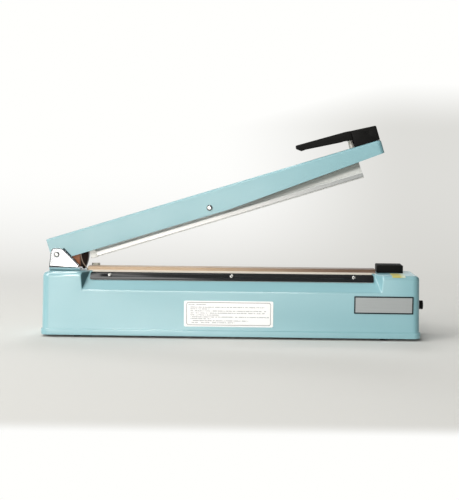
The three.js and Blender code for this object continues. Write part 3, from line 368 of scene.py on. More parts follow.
enamel = {"colour": (141, 190, 199), "shade": 0.985, "roughness": 0.38, "specular": 0.85, "coat": 0.6,
          "coatRoughness": 0.3, "scale": 700, "bump": 0.12, "depth": 0.02}
alongArm = (0, spots["armAngle"], 0)
finishLooks = {
    "paint": enamel,
    # the arm's copy of the enamel, which is given a painted shade towards the hinge below
    "paint_arm_shaded": enamel,
    "paint_bend": {"colour": (143, 191, 200), "shade": 0.985, "roughness": 0.3, "specular": 0.7, "coat": 1.0,
                   "coatRoughness": 0.08, "coatIor": 1.8, "scale": 700},
    "paint_shaded": {"colour": (78, 112, 118), "shade": 0.97, "roughness": 0.5, "specular": 0.3},
    "bare_steel": {"colour": (176, 180, 182), "roughness": 0.42, "metallic": 0.9, "scale": 260},
    "chrome": {"colour": (240, 241, 242), "roughness": 0.1, "metallic": 1.0, "scale": 500, "shade": 0.97,
               "bump": 0.03},
    # painted dark reflection: the grey line inside the bracket's cheek edges
    "chrome_painted_reflection_line": {"colour": (82, 88, 92), "roughness": 0.5, "specular": 0.3, "scale": 500},
    "screw_steel": {"colour": (214, 214, 211), "roughness": 0.22, "metallic": 1.0, "scale": 800},
    "spring_steel": {"colour": (128, 131, 134), "roughness": 0.34, "metallic": 1.0, "scale": 500},
    "rubber": {"colour": (34, 34, 35), "roughness": 0.78, "scale": 900, "bump": 0.2},
    "phenolic": {"colour": (170, 108, 72), "roughness": 0.45, "specular": 0.3, "scale": 90,
                 "stretch": (1, 1, 7), "shade": 0.6, "bump": 0.25},
    "aluminium": {"colour": (226, 226, 224), "roughness": 0.3, "metallic": 0.5,
                  "stretch": (0.05, 3, 3), "turn": alongArm, "bump": 0.1},
    "bar_metal": {"colour": (164, 168, 168), "roughness": 0.4, "metallic": 0.2,
                  "stretch": (0.05, 3, 3), "turn": alongArm, "shade": 0.97},
    "bar_web_and_painted_light_tops": {"colour": (230, 232, 229), "roughness": 0.5, "shade": 0.97},
    "silicone": {"colour": (232, 233, 230), "roughness": 0.55, "scale": 500, "bump": 0.1},
    "cream_plastic": {"colour": (253, 252, 247), "roughness": 0.4},
    "glass_cloth": {"colour": (150, 118, 86), "roughness": 0.35, "specular": 0.9, "scale": 60, "shade": 0.86,
                    "bump": 0.1},
    "black_enamel": {"colour": (20, 21, 23), "roughness": 0.2, "specular": 0.2, "coat": 0.8,
                     "coatRoughness": 0.17, "scale": 500, "bump": 0.02},
    # painted highlight along the clamp strips' lower edges
    "strip_edge_painted_highlight": {"colour": (214, 218, 216), "roughness": 0.3, "metallic": 0.3, "scale": 600},
    "black_plastic": {"colour": (17, 17, 16), "roughness": 0.6, "specular": 0.13, "scale": 900, "bump": 0.12,
                      "depth": 0.03},
    "brass": {"colour": (140, 140, 132), "roughness": 0.36, "metallic": 0.95},
    "element_alloy": {"colour": (150, 146, 139), "roughness": 0.4, "metallic": 0.95},
    "label_paper": {"colour": (254, 255, 255), "roughness": 0.42, "specular": 0.9, "scale": 500,
                    "shade": 0.985, "coat": 1.0, "coatRoughness": 0.35, "coatIor": 1.7},
    "yellow_paper": {"colour": (196, 187, 100), "roughness": 0.5, "scale": 200, "shade": 0.96},
    "silver_plate": {"colour": (172, 177, 178), "roughness": 0.42, "metallic": 0.5,
                     "stretch": (0.1, 1, 4), "bump": 0.08},
    "laminations": {"colour": (96, 99, 103), "roughness": 0.5, "metallic": 0.8,
                    "stretch": (1, 30, 1), "shade": 0.7, "bump": 0.4},
    "copper_winding": {"colour": (176, 92, 52), "roughness": 0.38, "metallic": 0.4,
                       "stretch": (1, 1, 12), "shade": 0.72, "bump": 0.5},
    "circuit_board": {"colour": (40, 110, 68), "roughness": 0.45, "scale": 200, "shade": 0.9},
    # painted shade: the dark ring around the bolt and screw heads
    "dark_washer": {"colour": (70, 76, 78), "roughness": 0.4, "metallic": 0.7, "scale": 600},
    "plunger_grey": {"colour": (214, 211, 202), "roughness": 0.4, "metallic": 0.2, "scale": 500},
    "pointer_white": {"colour": (232, 232, 228), "roughness": 0.5, "scale": 500},
    "dark_pin": {"colour": (17, 17, 16), "roughness": 0.6, "specular": 0.13, "scale": 600},
    # painted shadow: the bracket's shadow on the arm's side
    "painted_shadow_blue": {"colour": (22, 54, 63), "roughness": 0.6, "specular": 0.2, "scale": 500},
    "lead_cover": {"colour": (150, 132, 118), "roughness": 0.42, "scale": 500},
}
finishes = {name: makeFinish(name, look) for name, look in finishLooks.items()}
slotOf = {row["node"]: row["material_slot"] for row in frame["record"]["subparts"]}
for nodeName, node in nodes.items():
    node.data.materials.clear()
    node.data.materials.append(finishes[slotOf[nodeName]])


def placeIn(tree):
    return next(n for n in tree.nodes if n.type == "TEX_COORD").outputs["Object"]


def splitPlace(tree, place):
    parts = tree.nodes.new("ShaderNodeSeparateXYZ")
    tree.links.new(place, parts.inputs["Vector"])
    return [parts.outputs[k] for k in "XYZ"]


def colourSource(name):
    tree = finishes[name].node_tree
    socket = tree.nodes["Principled BSDF"].inputs["Base Color"]
    x, y, z = splitPlace(tree, placeIn(tree))
    return tree, socket, socket.links[0].from_socket, x, z


def frameDistance(tree, across, up, box, corner):  # millimetres outside a rounded rectangle, negative inside
    sides = []
    for value, low, high in ((across, box[0], box[2]), (up, box[1], box[3])):
        step = addMath(tree, "MULTIPLY_ADD", value, 1 / mm)
        step.node.inputs[2].default_value = -(low + high) / 2
        sides.append(addMath(tree, "SUBTRACT", addMath(tree, "ABSOLUTE", step), (high - low) / 2 - corner))
    outer = [addMath(tree, "MAXIMUM", side, 0.0) for side in sides]
    squares = [addMath(tree, "MULTIPLY", side, side) for side in outer]
    far = addMath(tree, "SQRT", addMath(tree, "ADD", *squares))
    inner = addMath(tree, "MINIMUM", addMath(tree, "MAXIMUM", *sides), 0.0)
    return addMath(tree, "SUBTRACT", addMath(tree, "ADD", far, inner), corner)


def addLine(tree, distance, middle, width):  # 1 on a line that wide at that distance
    gap = addMath(tree, "ABSOLUTE", addMath(tree, "SUBTRACT", distance, middle))
    return addMath(tree, "LESS_THAN", gap, width / 2)


labelPrint = {
    "frame": (-64.1, 19.3, 51.2, 50.3),
    "corner": 3.0,
    "lineWidth": 1.0,
    "lineColour": (146, 140, 144),
    "ruleColour": (166, 166, 169),
    "ruleWidth": 1.15,
    "rules": [(47.6, -62, -36), (43.9, -59, 43), (41.4, -59, -32), (38.7, -59, 45), (35.8, -59, 43),
              (33.1, -59, -20), (30.4, -59, 49), (27.9, -59, -31), (25.2, -59, 21), (22.6, -59, 2)],
    "gapScale": 620,
    "gapDetail": 1,
    "gapBelow": 0.43,
}


def printLabel(s):  # a thin frame and broken grey rules, no words
    tree, socket, source, x, z = colourSource("label_paper")
    distance = frameDistance(tree, x, z, s["frame"], s["corner"])
    colour = addMix(tree, addLine(tree, distance, 0, s["lineWidth"]), source, linear(s["lineColour"]))
    grain = addNoise(tree, placeIn(tree), s["gapScale"], s["gapDetail"])
    broken = addMath(tree, "GREATER_THAN", grain, s["gapBelow"])
    rules = None
    for height, left, right in s["rules"]:
        row = addLine(tree, addMath(tree, "MULTIPLY", z, 1 / mm), height, s["ruleWidth"])
        run = addLine(tree, addMath(tree, "MULTIPLY", x, 1 / mm), (left + right) / 2, right - left)
        row = addMath(tree, "MULTIPLY", row, run)
        rules = row if rules is None else addMath(tree, "MAXIMUM", rules, row)
    colour = addMix(tree, addMath(tree, "MULTIPLY", rules, broken), colour, linear(s["ruleColour"]))
    tree.links.new(colour, socket)


platePrint = {"box": (165.15, 37.3, 246.15, 61.51), "border": 1.9, "corner": 0.6, "colour": (36, 48, 52)}


def printPlate(s):  # a dark border
    tree, socket, source, x, z = colourSource("silver_plate")
    distance = frameDistance(tree, x, z, s["box"], s["corner"])
    colour = addMix(tree, addMath(tree, "GREATER_THAN", distance, -s["border"]), source, linear(s["colour"]))
    tree.links.new(colour, socket)


stickerPrint = {"middle": 222.6, "worn": (3.5, 10.0), "pale": (204, 216, 196)}


def printSticker(s):  # worn pale towards both ends
    tree, socket, source, x, z = colourSource("yellow_paper")
    offset = addMath(tree, "ABSOLUTE", addMath(tree, "SUBTRACT", x, s["middle"] * mm))
    colour = addMix(tree, addFade(tree, offset, *s["worn"]), source, linear(s["pale"]))
    tree.links.new(colour, socket)


clothPrint = {
    "darkerAlong": (-120, 185),
    "lightEnd": (198, 166, 128),
    "darkEnd": (96, 62, 30),
    "weaveScale": 900,
    "weaveDetail": 2,
    "weaveShare": 0.25,
    "hemUp": (90.6, 91.1),
    "hemHighlight": (226, 220, 208),
}


def printCloth(s):  # darker towards the right; its hem paler, a painted highlight where the cloth bends down over the ridge
    tree, socket, source, x, z = colourSource("glass_cloth")
    tan = addMix(tree, addFade(tree, x, *s["darkerAlong"]), linear(s["lightEnd"]), linear(s["darkEnd"]))
    weave = tree.nodes.new("ShaderNodeMix")
    weave.data_type = "RGBA"
    weave.blend_type = "MULTIPLY"
    weave.inputs["Factor"].default_value = s["weaveShare"]
    first, second = (k for k in weave.inputs if k.type == "RGBA")
    tree.links.new(tan, first)
    tree.links.new(addNoise(tree, placeIn(tree), s["weaveScale"], s["weaveDetail"]), second)
    tan = next(k for k in weave.outputs if k.type == "RGBA")
    hem = addMath(tree, "SUBTRACT", 1.0, addFade(tree, z, *s["hemUp"]))
    tree.links.new(addMix(tree, hem, tan, linear(s["hemHighlight"])), socket)


armShade = {"along": (-260, 130), "deep": (130, 177, 185)}


def shadeArm(s):  # painted shade: the arm's colour darkens towards the hinge
    tree, socket, source, x, z = colourSource("paint_arm_shaded")
    tree.links.new(addMix(tree, addFade(tree, x, *s["along"]), linear(s["deep"]), source), socket)


# painted light at the bar's left end and a painted shadow of the arm on its web
barLightAndShadow = {
    "along": (-110, 200),
    "bright": (255, 254, 252),
    "shadowColour": (158, 164, 160),
    "shadowAlong": (-40, 50),
    "shadowUp": (172.2, 177.6),  # above a line through the origin that rises by the slope
    "slope": 0.352,
}


def paintBarLightAndShadow(s):  # painted light, brightest at its left end, and a painted shadow of the arm along the web's upper part towards the right
    tree, socket, source, x, z = colourSource("bar_metal")
    tree.links.new(addMix(tree, addFade(tree, x, *s["along"]), linear(s["bright"]), source), socket)
    tree, socket, source, x, z = colourSource("bar_web_and_painted_light_tops")
    lift = addMath(tree, "SUBTRACT", z, addMath(tree, "MULTIPLY", x, s["slope"]))
    armShadow = addMath(tree, "MULTIPLY", addFade(tree, x, *s["shadowAlong"]), addFade(tree, lift, *s["shadowUp"]))
    tree.links.new(addMix(tree, armShadow, source, linear(s["shadowColour"])), socket)


blockShade = {"along": (-217.5, -213.0), "dark": (40, 26, 19)}


def paintBlockShade(s):  # painted shade: darker towards its right end, where the cut-back face turns from the light
    tree, socket, source, x, z = colourSource("phenolic")
    tree.links.new(addMix(tree, addFade(tree, x, *s["along"]), source, linear(s["dark"])), socket)


paintBlockShade(blockShade)
shadeArm(armShade)
paintBarLightAndShadow(barLightAndShadow)
printLabel(labelPrint)
printPlate(platePrint)
printSticker(stickerPrint)
printCloth(clothPrint)
print("finishes made")


# camera
cameraSettings = {
    "place": (22.65, -1535.0, 252.7),
    "yaw": -1.1,
    "pitch": 4.955,
    "roll": 0.55,
    "lens": 79.2,
    "sensor": 36,
    "near": 0.05,
    "far": 30,
}


def makeCamera(s):
    yaw, pitch, roll = (math.radians(s[k]) for k in ("yaw", "pitch", "roll"))
    ahead = Vector((math.sin(yaw) * math.cos(pitch), math.cos(yaw) * math.cos(pitch), -math.sin(pitch)))
    level = Vector((math.cos(yaw), -math.sin(yaw), 0))
    upright = level.cross(ahead)
    right = level * math.cos(roll) + upright * math.sin(roll)
    up = -level * math.sin(roll) + upright * math.cos(roll)
    data = bpy.data.cameras.new("photoView")
    data.sensor_fit = "AUTO"
    data.sensor_width = s["sensor"]
    data.lens = s["lens"]
    data.clip_start, data.clip_end = s["near"], s["far"]
    camera = addObject("photoView", data)
    turn = Matrix((right, up, -ahead)).transposed()
    camera.matrix_world = Matrix.Translation(Vector(s["place"]) * mm) @ turn.to_4x4()
    bpy.context.scene.camera = camera


makeCamera(cameraSettings)


# room and light
roomSettings = {"floorHalf": 3000, "wallPlace": 1300, "wallHeight": 2600, "sweep": 500, "sweepSteps": 24}
paperSettings = {  # each pair is where a fade starts and ends, in millimetres
    "roughness": 0.9,
    "specular": 0.1,
    "floorColour": (196, 197, 194),
    "shownColour": (222, 222, 219),  # what the camera and the bright metal see
    "farLeft": (224, 223, 219),
    "farRight": (211, 210, 205),
    "tintAcross": (-600, 500),
    "farTop": (255, 255, 253),
    "glowUp": (600, 1450),
    "glowAcross": (-80, 420),
    "glowLoss": 0.78,
    "whiteUp": (1580, 1800),
    "nearEdge": (-560, -490),
    "farDark": (90, 96, 98),  # the dim side of the room, in reflections only
    "dimAcross": (450, 1200),
    "dimUp": (700, 1000),
    "lightUp": (100, 650),
}
airSettings = {"light": (1.0, 0.985, 0.96), "leftPower": 0.62, "rightPower": 0.05, "reach": 0.9}
lampSettings = {
    "windowLamp": {"place": (-0.5, -2.2, 0.22), "aim": (-0.05, 0, 0.1), "size": (1.3, 0.5), "power": 12.5,
                   "colour": (1.0, 0.955, 0.9)},
    "keyLamp": {"place": (-0.47, -2.1, 1.5), "aim": (-0.05, 0, 0.1), "size": (0.34, 0.7), "power": 12.5,
                "colour": (1.0, 0.98, 0.95)},
    "sideLamp": {"place": (-3.6, -2.8, 2.8), "aim": (0, 0, 0.1), "size": (3.0, 3.0), "power": 120,
                 "colour": (1.0, 0.985, 0.96)},
    "overheadLamp": {"place": (-0.77, 0.0, 1.5), "aim": (-0.65, 0, 0.05), "size": (0.8, 0.8), "power": 6,
                     "colour": (1.0, 0.99, 0.97)},
    "backLamp": {"place": (0.0, 1.05, 1.3), "aim": (0, 0, 0.1), "size": (0.5, 0.5), "power": 5,
                 "colour": (0.98, 0.99, 1.0)},
}


def makePaper(s):
    material = bpy.data.materials.new("studioPaper")
    material.use_nodes = True
    tree = material.node_tree
    link = tree.links.new
    shader = tree.nodes["Principled BSDF"]
    shader.inputs["Roughness"].default_value = s["roughness"]
    shader.inputs["Specular IOR Level"].default_value = s["specular"]
    rays = tree.nodes.new("ShaderNodeLightPath")
    seen = addMath(tree, "MAXIMUM", rays.outputs["Is Camera Ray"], rays.outputs["Is Glossy Ray"])
    seen = addMath(tree, "MAXIMUM", seen, rays.outputs["Is Transmission Ray"])
    link(addMix(tree, seen, linear(s["floorColour"]), linear(s["shownColour"])), shader.inputs["Base Color"])
    x, y, z = splitPlace(tree, tree.nodes.new("ShaderNodeTexCoord").outputs["Object"])
    depth = addMath(tree, "ADD", y, z)
    wallTone = addMix(tree, addFade(tree, x, *s["tintAcross"]), linear(s["farLeft"]), linear(s["farRight"]))
    loss = addMath(tree, "MULTIPLY", addFade(tree, x, *s["glowAcross"]), s["glowLoss"])
    kept = addMath(tree, "SUBTRACT", 1.0, loss)
    glow = addMath(tree, "MULTIPLY", addFade(tree, depth, *s["glowUp"]), kept)
    glow = addMath(tree, "ADD", glow, addFade(tree, depth, *s["whiteUp"]), clamp=True)
    wallTone = addMix(tree, glow, wallTone, linear(s["farTop"]))
    near = addMath(tree, "SUBTRACT", 1.0, addFade(tree, y, *s["nearEdge"]))
    wallTone = addMix(tree, near, wallTone, linear(s["farTop"]))
    dim = addMath(tree, "MAXIMUM", addFade(tree, x, *s["dimAcross"]), addFade(tree, z, *s["dimUp"]))
    dim = addMath(tree, "MULTIPLY", dim, rays.outputs["Is Glossy Ray"])
    wall = tree.nodes.new("ShaderNodeEmission")
    link(addMix(tree, dim, wallTone, linear(s["farDark"])), wall.inputs["Color"])
    share = addMath(tree, "MAXIMUM", addMath(tree, "MAXIMUM", addFade(tree, depth, *s["lightUp"]), near), dim)
    paper = addShaderMix(tree, addMath(tree, "MULTIPLY", share, seen), shader.outputs["BSDF"],
                         wall.outputs["Emission"])
    sides = tree.nodes.new("ShaderNodeNewGeometry")
    clear = tree.nodes.new("ShaderNodeBsdfTransparent")  # it doesn't hide the object from behind or below
    oneSided = addShaderMix(tree, sides.outputs["Backfacing"], paper, clear.outputs["BSDF"])
    link(oneSided, tree.nodes["Material Output"].inputs["Surface"])
    return material


def makeRoom(s):
    pickNothing()
    bpy.ops.mesh.primitive_plane_add(
        size=2 * s["floorHalf"] * mm, location=(0, (s["wallPlace"] - s["floorHalf"]) * mm, 0))
    room = bpy.context.object
    room.name = "studioSweep"
    applyPlace()
    clearPicks(room, "EDGE")
    for edge in room.data.edges:
        edge.select = all(room.data.vertices[i].co.y > (s["wallPlace"] - 1) * mm for i in edge.vertices)
    startEditing()
    extrudePicked(0, 0, s["wallHeight"])
    stopEditing()
    pickEdges(room, 60, lambda a, b: True)
    bevelPicked(s["sweep"], s["sweepSteps"])
    bpy.ops.object.shade_smooth()
    room.data.materials.append(makePaper(paperSettings))


def makeAir(s):
    world = bpy.data.worlds.new("studioAir")
    bpy.context.scene.world = world
    world.use_nodes = True
    tree = world.node_tree
    air = tree.nodes["Background"]
    air.inputs["Color"].default_value = (*s["light"], 1)
    x, y, z = splitPlace(tree, tree.nodes.new("ShaderNodeTexCoord").outputs["Generated"])
    across = addRange(tree, x, -s["reach"], s["reach"], s["leftPower"], s["rightPower"])
    tree.links.new(across, air.inputs["Strength"])
    shown = tree.nodes.new("ShaderNodeBackground")  # what the camera sees past the paper's edges
    shown.inputs["Color"].default_value = (*linear(paperSettings["shownColour"]), 1)
    rays = tree.nodes.new("ShaderNodeLightPath")
    blend = addShaderMix(tree, rays.outputs["Is Camera Ray"], air.outputs["Background"],
                         shown.outputs["Background"])
    tree.links.new(blend, tree.nodes["World Output"].inputs["Surface"])


def makeLamps(table):
    for name, s in table.items():
        data = bpy.data.lights.new(name, "AREA")
        data.shape = "RECTANGLE"
        data.size, data.size_y = s["size"]
        data.energy = s["power"]
        data.color = s["colour"]
        lamp = addObject(name, data)
        lamp.location = s["place"]
        lamp.rotation_euler = (Vector(s["aim"]) - Vector(s["place"])).to_track_quat("-Z", "Y").to_euler()


makeRoom(roomSettings)
makeAir(airSettings)
makeLamps(lampSettings)
bpy.context.scene.view_settings.view_transform = "Standard"
print("room, light and camera set")


# base housing
housingSettings = {
    "halfLength": 262.0,
    "halfDepth": 41.0,
    "bottom": 3.5,
    "skirtTop": 12.0,
    "skirtStep": 0.9,
    "flare": 1.6,
    "draft": 0.018,
    "cornerRound": 10.0,
    "wall": 1.4,
    "topBend": 5.6,
    "topBendSteps": 6,
    "cornerSteps": 8,
    "skirtBend": 0.45,
    "notchBend": 2.6,
    "notchBendSteps": 5,
    "notchLeft": 206.0,
    "notchRight": 209.0,
    "notchMargin": 6.5,
    "slant": 10.0,
    "lean": 2.0,
    "cutAbove": 2.0,
    "cutReach": 90.0,
    "cutEdge": 0.02,
    "tilted": 0.09,  # normals: how far from upright a bend starts
    "flat": 0.995,
    "leftWall": 0.6,
    "slopeWithin": 4,
    "shadedAbove": 60,
    "shadedFrom": -217,
    "shadedTo": -195,
    "shadedBeside": 8,
}


def notchCutter(s, side):
    rise = math.tan(slopeAngle)
    sillHalf, top = spots["sillHalf"], spots["baseTop"] + s["cutAbove"]
    inner = spots["ridgeHalf"] - s["cutAbove"] / rise
    low = spots["sill"] - (s["cutReach"] - sillHalf) * rise
    cutter = addBox("notchCutter", (-1, -1, -1), (1, 1, 1))

    def wall(edge, y, z):
        slant = s["slant"] * (sillHalf - y) / (sillHalf - spots["ridgeHalf"])
        lean = s["lean"] * (spots["baseTop"] - z) / (spots["baseTop"] - spots["sill"])
        return edge - slant - lean

    for point in cutter.data.vertices:
        left, far, high = point.co.x < 0, point.co.y < 0, point.co.z > 0
        y = s["cutReach"] if far else inner
        z = top if high else (low if far else top - s["cutEdge"])
        edge = s["notchLeft"] if left else s["notchRight"]
        x = wall(edge, y, z) * (-1 if left else 1) + spots["baseMiddle"]
        point.co = Vector((x, side * y, z)) * mm
    mergePoints(cutter)
    return cutter


def makeHousing(s):
    x0, x1 = spots["baseMiddle"] - s["halfLength"], spots["baseMiddle"] + s["halfLength"]
    skirtLow = s["skirtTop"] - s["skirtStep"]
    body = addBox("housing", (x0, -s["halfDepth"], s["bottom"]), (x1, s["halfDepth"], skirtLow))
    middle = Vector((spots["baseMiddle"] * mm, 0, 0))

    def growUp(rise, halfX, halfY, newX, newY):
        pickFaces(body, lambda c, n: n.z > square)
        extrudePicked(0, 0, rise)
        bpy.ops.transform.resize(value=(newX / halfX, newY / halfY, 1), center_override=middle)
        stopEditing()

    inX, inY = s["halfLength"] - s["flare"], s["halfDepth"] - s["flare"]
    growUp(s["skirtStep"], s["halfLength"], s["halfDepth"], inX, inY)
    height = spots["baseTop"] - s["skirtTop"]
    narrow = s["draft"] * height
    growUp(height, inX, inY, inX - narrow, inY - narrow)

    def atCorner(a, b):  # upright or nearly so
        step = a - b
        return max(abs(step.x), abs(step.y)) < s["flare"] * 2 and abs(step.z) > s["skirtStep"] / 3

    def atNotch(a, b):
        left = spots["baseMiddle"] - s["notchLeft"] - s["notchMargin"]
        right = spots["baseMiddle"] + s["notchRight"] + s["notchMargin"]
        return min(a.z, b.z) > spots["sill"] / 2 and all(left < p.x < right for p in (a, b))

    def atSkirt(a, b):
        return all(abs(p.z - s["skirtTop"]) < s["skirtStep"] * 2 for p in (a, b))

    roundEdges(body, s["cornerRound"], s["cornerSteps"], 20, atCorner)
    roundEdges(body, s["topBend"], s["topBendSteps"], 40, lambda a, b: min(a.z, b.z) > spots["baseTop"] - 0.1)
    for side in (-1, 1):
        carve(body, notchCutter(s, side))
    mergePoints(body, 0.4)
    roundEdges(body, s["notchBend"], s["notchBendSteps"], 18, atNotch, "WIDTH")
    roundEdges(body, s["skirtBend"], 2, 20, atSkirt)
    dropFaces(body, lambda c, n: n.z < -square and c.z < s["bottom"] + 0.1)
    shellOf(body, s["wall"])
    settle(body, "base", "paint", "base_housing", smooth=28)
    slopes = [Vector((0, side * slopeUp[0], slopeUp[1])) for side in (-1, 1)]

    def bent(c, n):
        if c.z < s["skirtTop"] - 2 or abs(n.z) < s["tilted"] or n.z > s["flat"]:
            return False
        return all(n.angle(slope) > math.radians(s["slopeWithin"]) for slope in slopes) and abs(n.x) < square

    def shaded(c, n):  # the notch's left wall, painted darker as painted shade
        return (n.x > s["leftWall"] and c.z > s["shadedAbove"] and s["shadedFrom"] < c.x < s["shadedTo"]
                and abs(c.y) > s["shadedBeside"])

    addSecondFinish(body, "paint_bend", bent)
    addSecondFinish(body, "paint_shaded", shaded)


makeHousing(housingSettings)
print("housing made")


# arm channel
armSettings = {
    "tail": -8.3,
    "taperStart": 250.0,
    "reach": 475.4,
    "top": 23.9,
    "drop": -8.5,
    "endDrop": 5.2,
    "half": 14.5,
    "wall": 1.2,
    "topRound": 3.0,
    "topRoundSteps": 5,
    "endRound": 7.0,
    "endRoundSteps": 8,
    "holeRadius": 2.0,
    "holeHalf": 3.0,
}


def makeArm(s):
    body = addBox("armChannel", (s["tail"], -s["half"], s["drop"]), (s["taperStart"], s["half"], s["top"]))
    pickFaces(body, lambda c, n: n.x > square)
    extrudePicked(s["reach"] - s["taperStart"], 0, 0)
    stopEditing()
    clearPicks(body, "VERT")
    for point in body.data.vertices:
        point.select = point.co.x > (s["reach"] - 1) * mm and point.co.z < 0
    startEditing()
    bpy.ops.transform.translate(value=(0, 0, (s["endDrop"] - s["drop"]) * mm))
    stopEditing()

    def atEnd(a, b):
        return min(a.x, b.x) > s["reach"] - 1 and abs(a.z - b.z) > 5

    def atTop(a, b):
        return min(a.z, b.z) > s["top"] - 0.1 and max(a.x, b.x) > s["tail"] + 1

    roundEdges(body, s["endRound"], s["endRoundSteps"], 40, atEnd)
    roundEdges(body, s["topRound"], s["topRoundSteps"], 40, atTop)
    dropFaces(body, lambda c, n: n.z < -0.5 or n.x < -square)  # open below and at the hinge
    shellOf(body, s["wall"])
    start = (spots["plungerAlong"], 0, s["top"] - s["holeHalf"])
    carve(body, addRod("plungerHole", s["holeRadius"], start, "z", 2 * s["holeHalf"]))
    mergePoints(body)
    ontoArm(body)
    settle(body, "arm", "paint", "arm_channel", smooth=28, look="paint_arm_shaded")


makeArm(armSettings)
print("arm made")


# pieces that keep their form and get rounded edges
corners = ("front_left", "front_right", "rear_left", "rear_right")
roundedPieces = [
    ("terminal_cover", 0.5, 3),
    ("clamp_strip_front", 0.22, 2),
    ("clamp_strip_rear", 0.22, 2),
    ("seat_bar", 0.25, 2),
    ("hinge_nut", 0.3, 2),
    ("bottom_plate", 0.3, 2),
    ("pressing_bar", 0.1, 1),
    ("silicone_strip", 0.4, 2),
    ("handle_block", 0.7, 3),
    ("grip_lever", 0.9, 3),
    ("bar_pivot_nut", 0.3, 2),
    *((f"foot_{corner}", 0.6, 3) for corner in corners),
    ("terminal_left", 0.12, 2),
    ("terminal_right", 0.12, 2),
    ("terminal_bush_left", 0.25, 2),
    ("terminal_bush_right", 0.25, 2),
    ("cord_gland", 0.5, 3),
    ("transformer_core", 0.4, 2),
    ("transformer_coil", 1.2, 3),
    ("micro_switch", 0.3, 2),
    ("timer_potentiometer", 0.4, 2),
    ("timer_shaft", 0.3, 2),
]
bodyOf = {n: body for body, members in frame["record"]["behaviour"]["bodies"].items() for n in members}
for nodeName, width, steps in roundedPieces:
    piece = copyOf(nodeName)
    bevelAll(piece, width, steps)
    barLook = "bar_metal" if nodeName == "pressing_bar" else None
    settle(piece, bodyOf[nodeName], slotOf[nodeName], nodeName, look=barLook)
    if barLook:
        # the web, and also every upward face as painted light: the tops stay pale where the metal would
        # reflect the dark arm
        addSecondFinish(piece, "bar_web_and_painted_light_tops", lambda c, n: (abs(c.y) < 4 and abs(n.y) > square) or n.z > 0.3)
    elif nodeName.startswith("clamp_strip"):
        # painted highlight: a pale finish on the strip's downward edge faces
        addSecondFinish(piece, "strip_edge_painted_highlight", lambda c, n: n.z < -0.3)
print("rounded pieces made")


# hinge bracket: a grey line inside the edge of each cheek is a painted dark reflection, and a dark strip
# beside the front one is a painted shadow
bracketSettings = {
    "edge": 0.15,
    "line": 1.0,
    "paintedShadow": [(-240.0, 118.2), (-237.0, 121.3), (-225.8, 109.7), (-229.2, 108.6)],
    "shadowFront": -14.95,
    "shadowBack": -14.65,
    "cheekBeyond": 16,
}


def makeBracket(s):
    piece = copyOf("hinge_bracket")
    settle(piece, "base", "chrome", "hinge_bracket")
    # painted dark reflection: a grey ring from 0.15 to 1.15 mm inside each cheek's edge
    piece.data.materials.append(finishes["chrome_painted_reflection_line"])
    for side in (-1, 1):
        pickFaces(piece, lambda c, n: n.y * side > 0.98 and abs(c.y) > s["cheekBeyond"])
        for inset, slot in ((s["edge"], 1), (s["line"], 0)):
            bpy.ops.mesh.inset(thickness=inset * mm, depth=0)
            piece.active_material_index = slot
            bpy.ops.object.material_slot_assign()
        stopEditing()
    # painted shadow: a thin dark blue sheet where the bracket's shadow falls on the arm
    paintedShadow = addBox("bracketPaintedShadow", (-1, s["shadowFront"], -1), (1, s["shadowBack"], 1))
    for point in paintedShadow.data.vertices:
        right, high = point.co.x > 0, point.co.z > 0
        x, z = s["paintedShadow"][(1 if right else 0) if high else (2 if right else 3)]
        point.co.x, point.co.z = x * mm, z * mm
    settle(paintedShadow, "base", "black_plastic", look="painted_shadow_blue")


makeBracket(bracketSettings)


# screws: one cross-head and one slotted head, copied to each place
screwSettings = {
    "headRadius": 2.7,
    "headHeight": 1.6,
    "crownShare": 0.7,
    "dome": 0.3844,
    "edge": 0.25,
    "cross": [(0.75, 3.3, 0.8), (3.3, 0.75, 0.8)],  # width, length and depth of each cut
    "slot": [(0.95, 6.48, 0.9)],
}


def makeScrewHead(name, s, cuts):  # stands on z = 0 and points up
    top = s["headHeight"]
    piece = addRod(name, s["headRadius"], (0, 0, 0), "z", top, 40)
    pickFaces(piece, lambda c, n: n.z > square)
    bpy.ops.mesh.inset(thickness=s["headRadius"] * (1 - s["crownShare"]) * mm, depth=0)
    stopEditing()
    for point in piece.data.vertices:  # dome the top
        reach = math.hypot(point.co.x, point.co.y) / mm / s["headRadius"]
        if point.co.z > top / 2 * mm:
            point.co.z = top * (1 - s["dome"] * reach ** 2) * mm
    roundEdges(piece, s["edge"], 2, 30, lambda a, b: min(a.z, b.z) > 0.3)
    for wide, long, deep in s[cuts]:
        carve(piece, addBox("screwCut", (-wide / 2, -long / 2, top - deep), (wide / 2, long / 2, top + 1)))
    mergePoints(piece)
    return piece


def placeScrew(template, nodeName, axis, turnDegrees, radius, height):
    axis = Vector(axis).normalized()
    points = [v.co / mm for v in nodes[nodeName].data.vertices]
    top = max(p.dot(axis) for p in points)
    crown = [p for p in points if p.dot(axis) > top - 0.05]
    middle = sum(crown, Vector()) / len(crown)
    middle -= axis * middle.dot(axis)
    piece = addObject(nodeName + "_turned", template.data.copy())
    wider, taller = radius / screwSettings["headRadius"], height / screwSettings["headHeight"]
    size = Matrix.Diagonal((wider, wider, taller, 1))
    spin = Matrix.Rotation(math.radians(turnDegrees), 4, "Z")
    aim = Vector((0, 0, 1)).rotation_difference(axis).to_matrix().to_4x4()
    seat = Matrix.Translation((middle + axis * (top - height)) * mm)
    piece.data.transform(seat @ aim @ spin @ size)
    settle(piece, bodyOf[nodeName], slotOf[nodeName], nodeName, smooth=35)


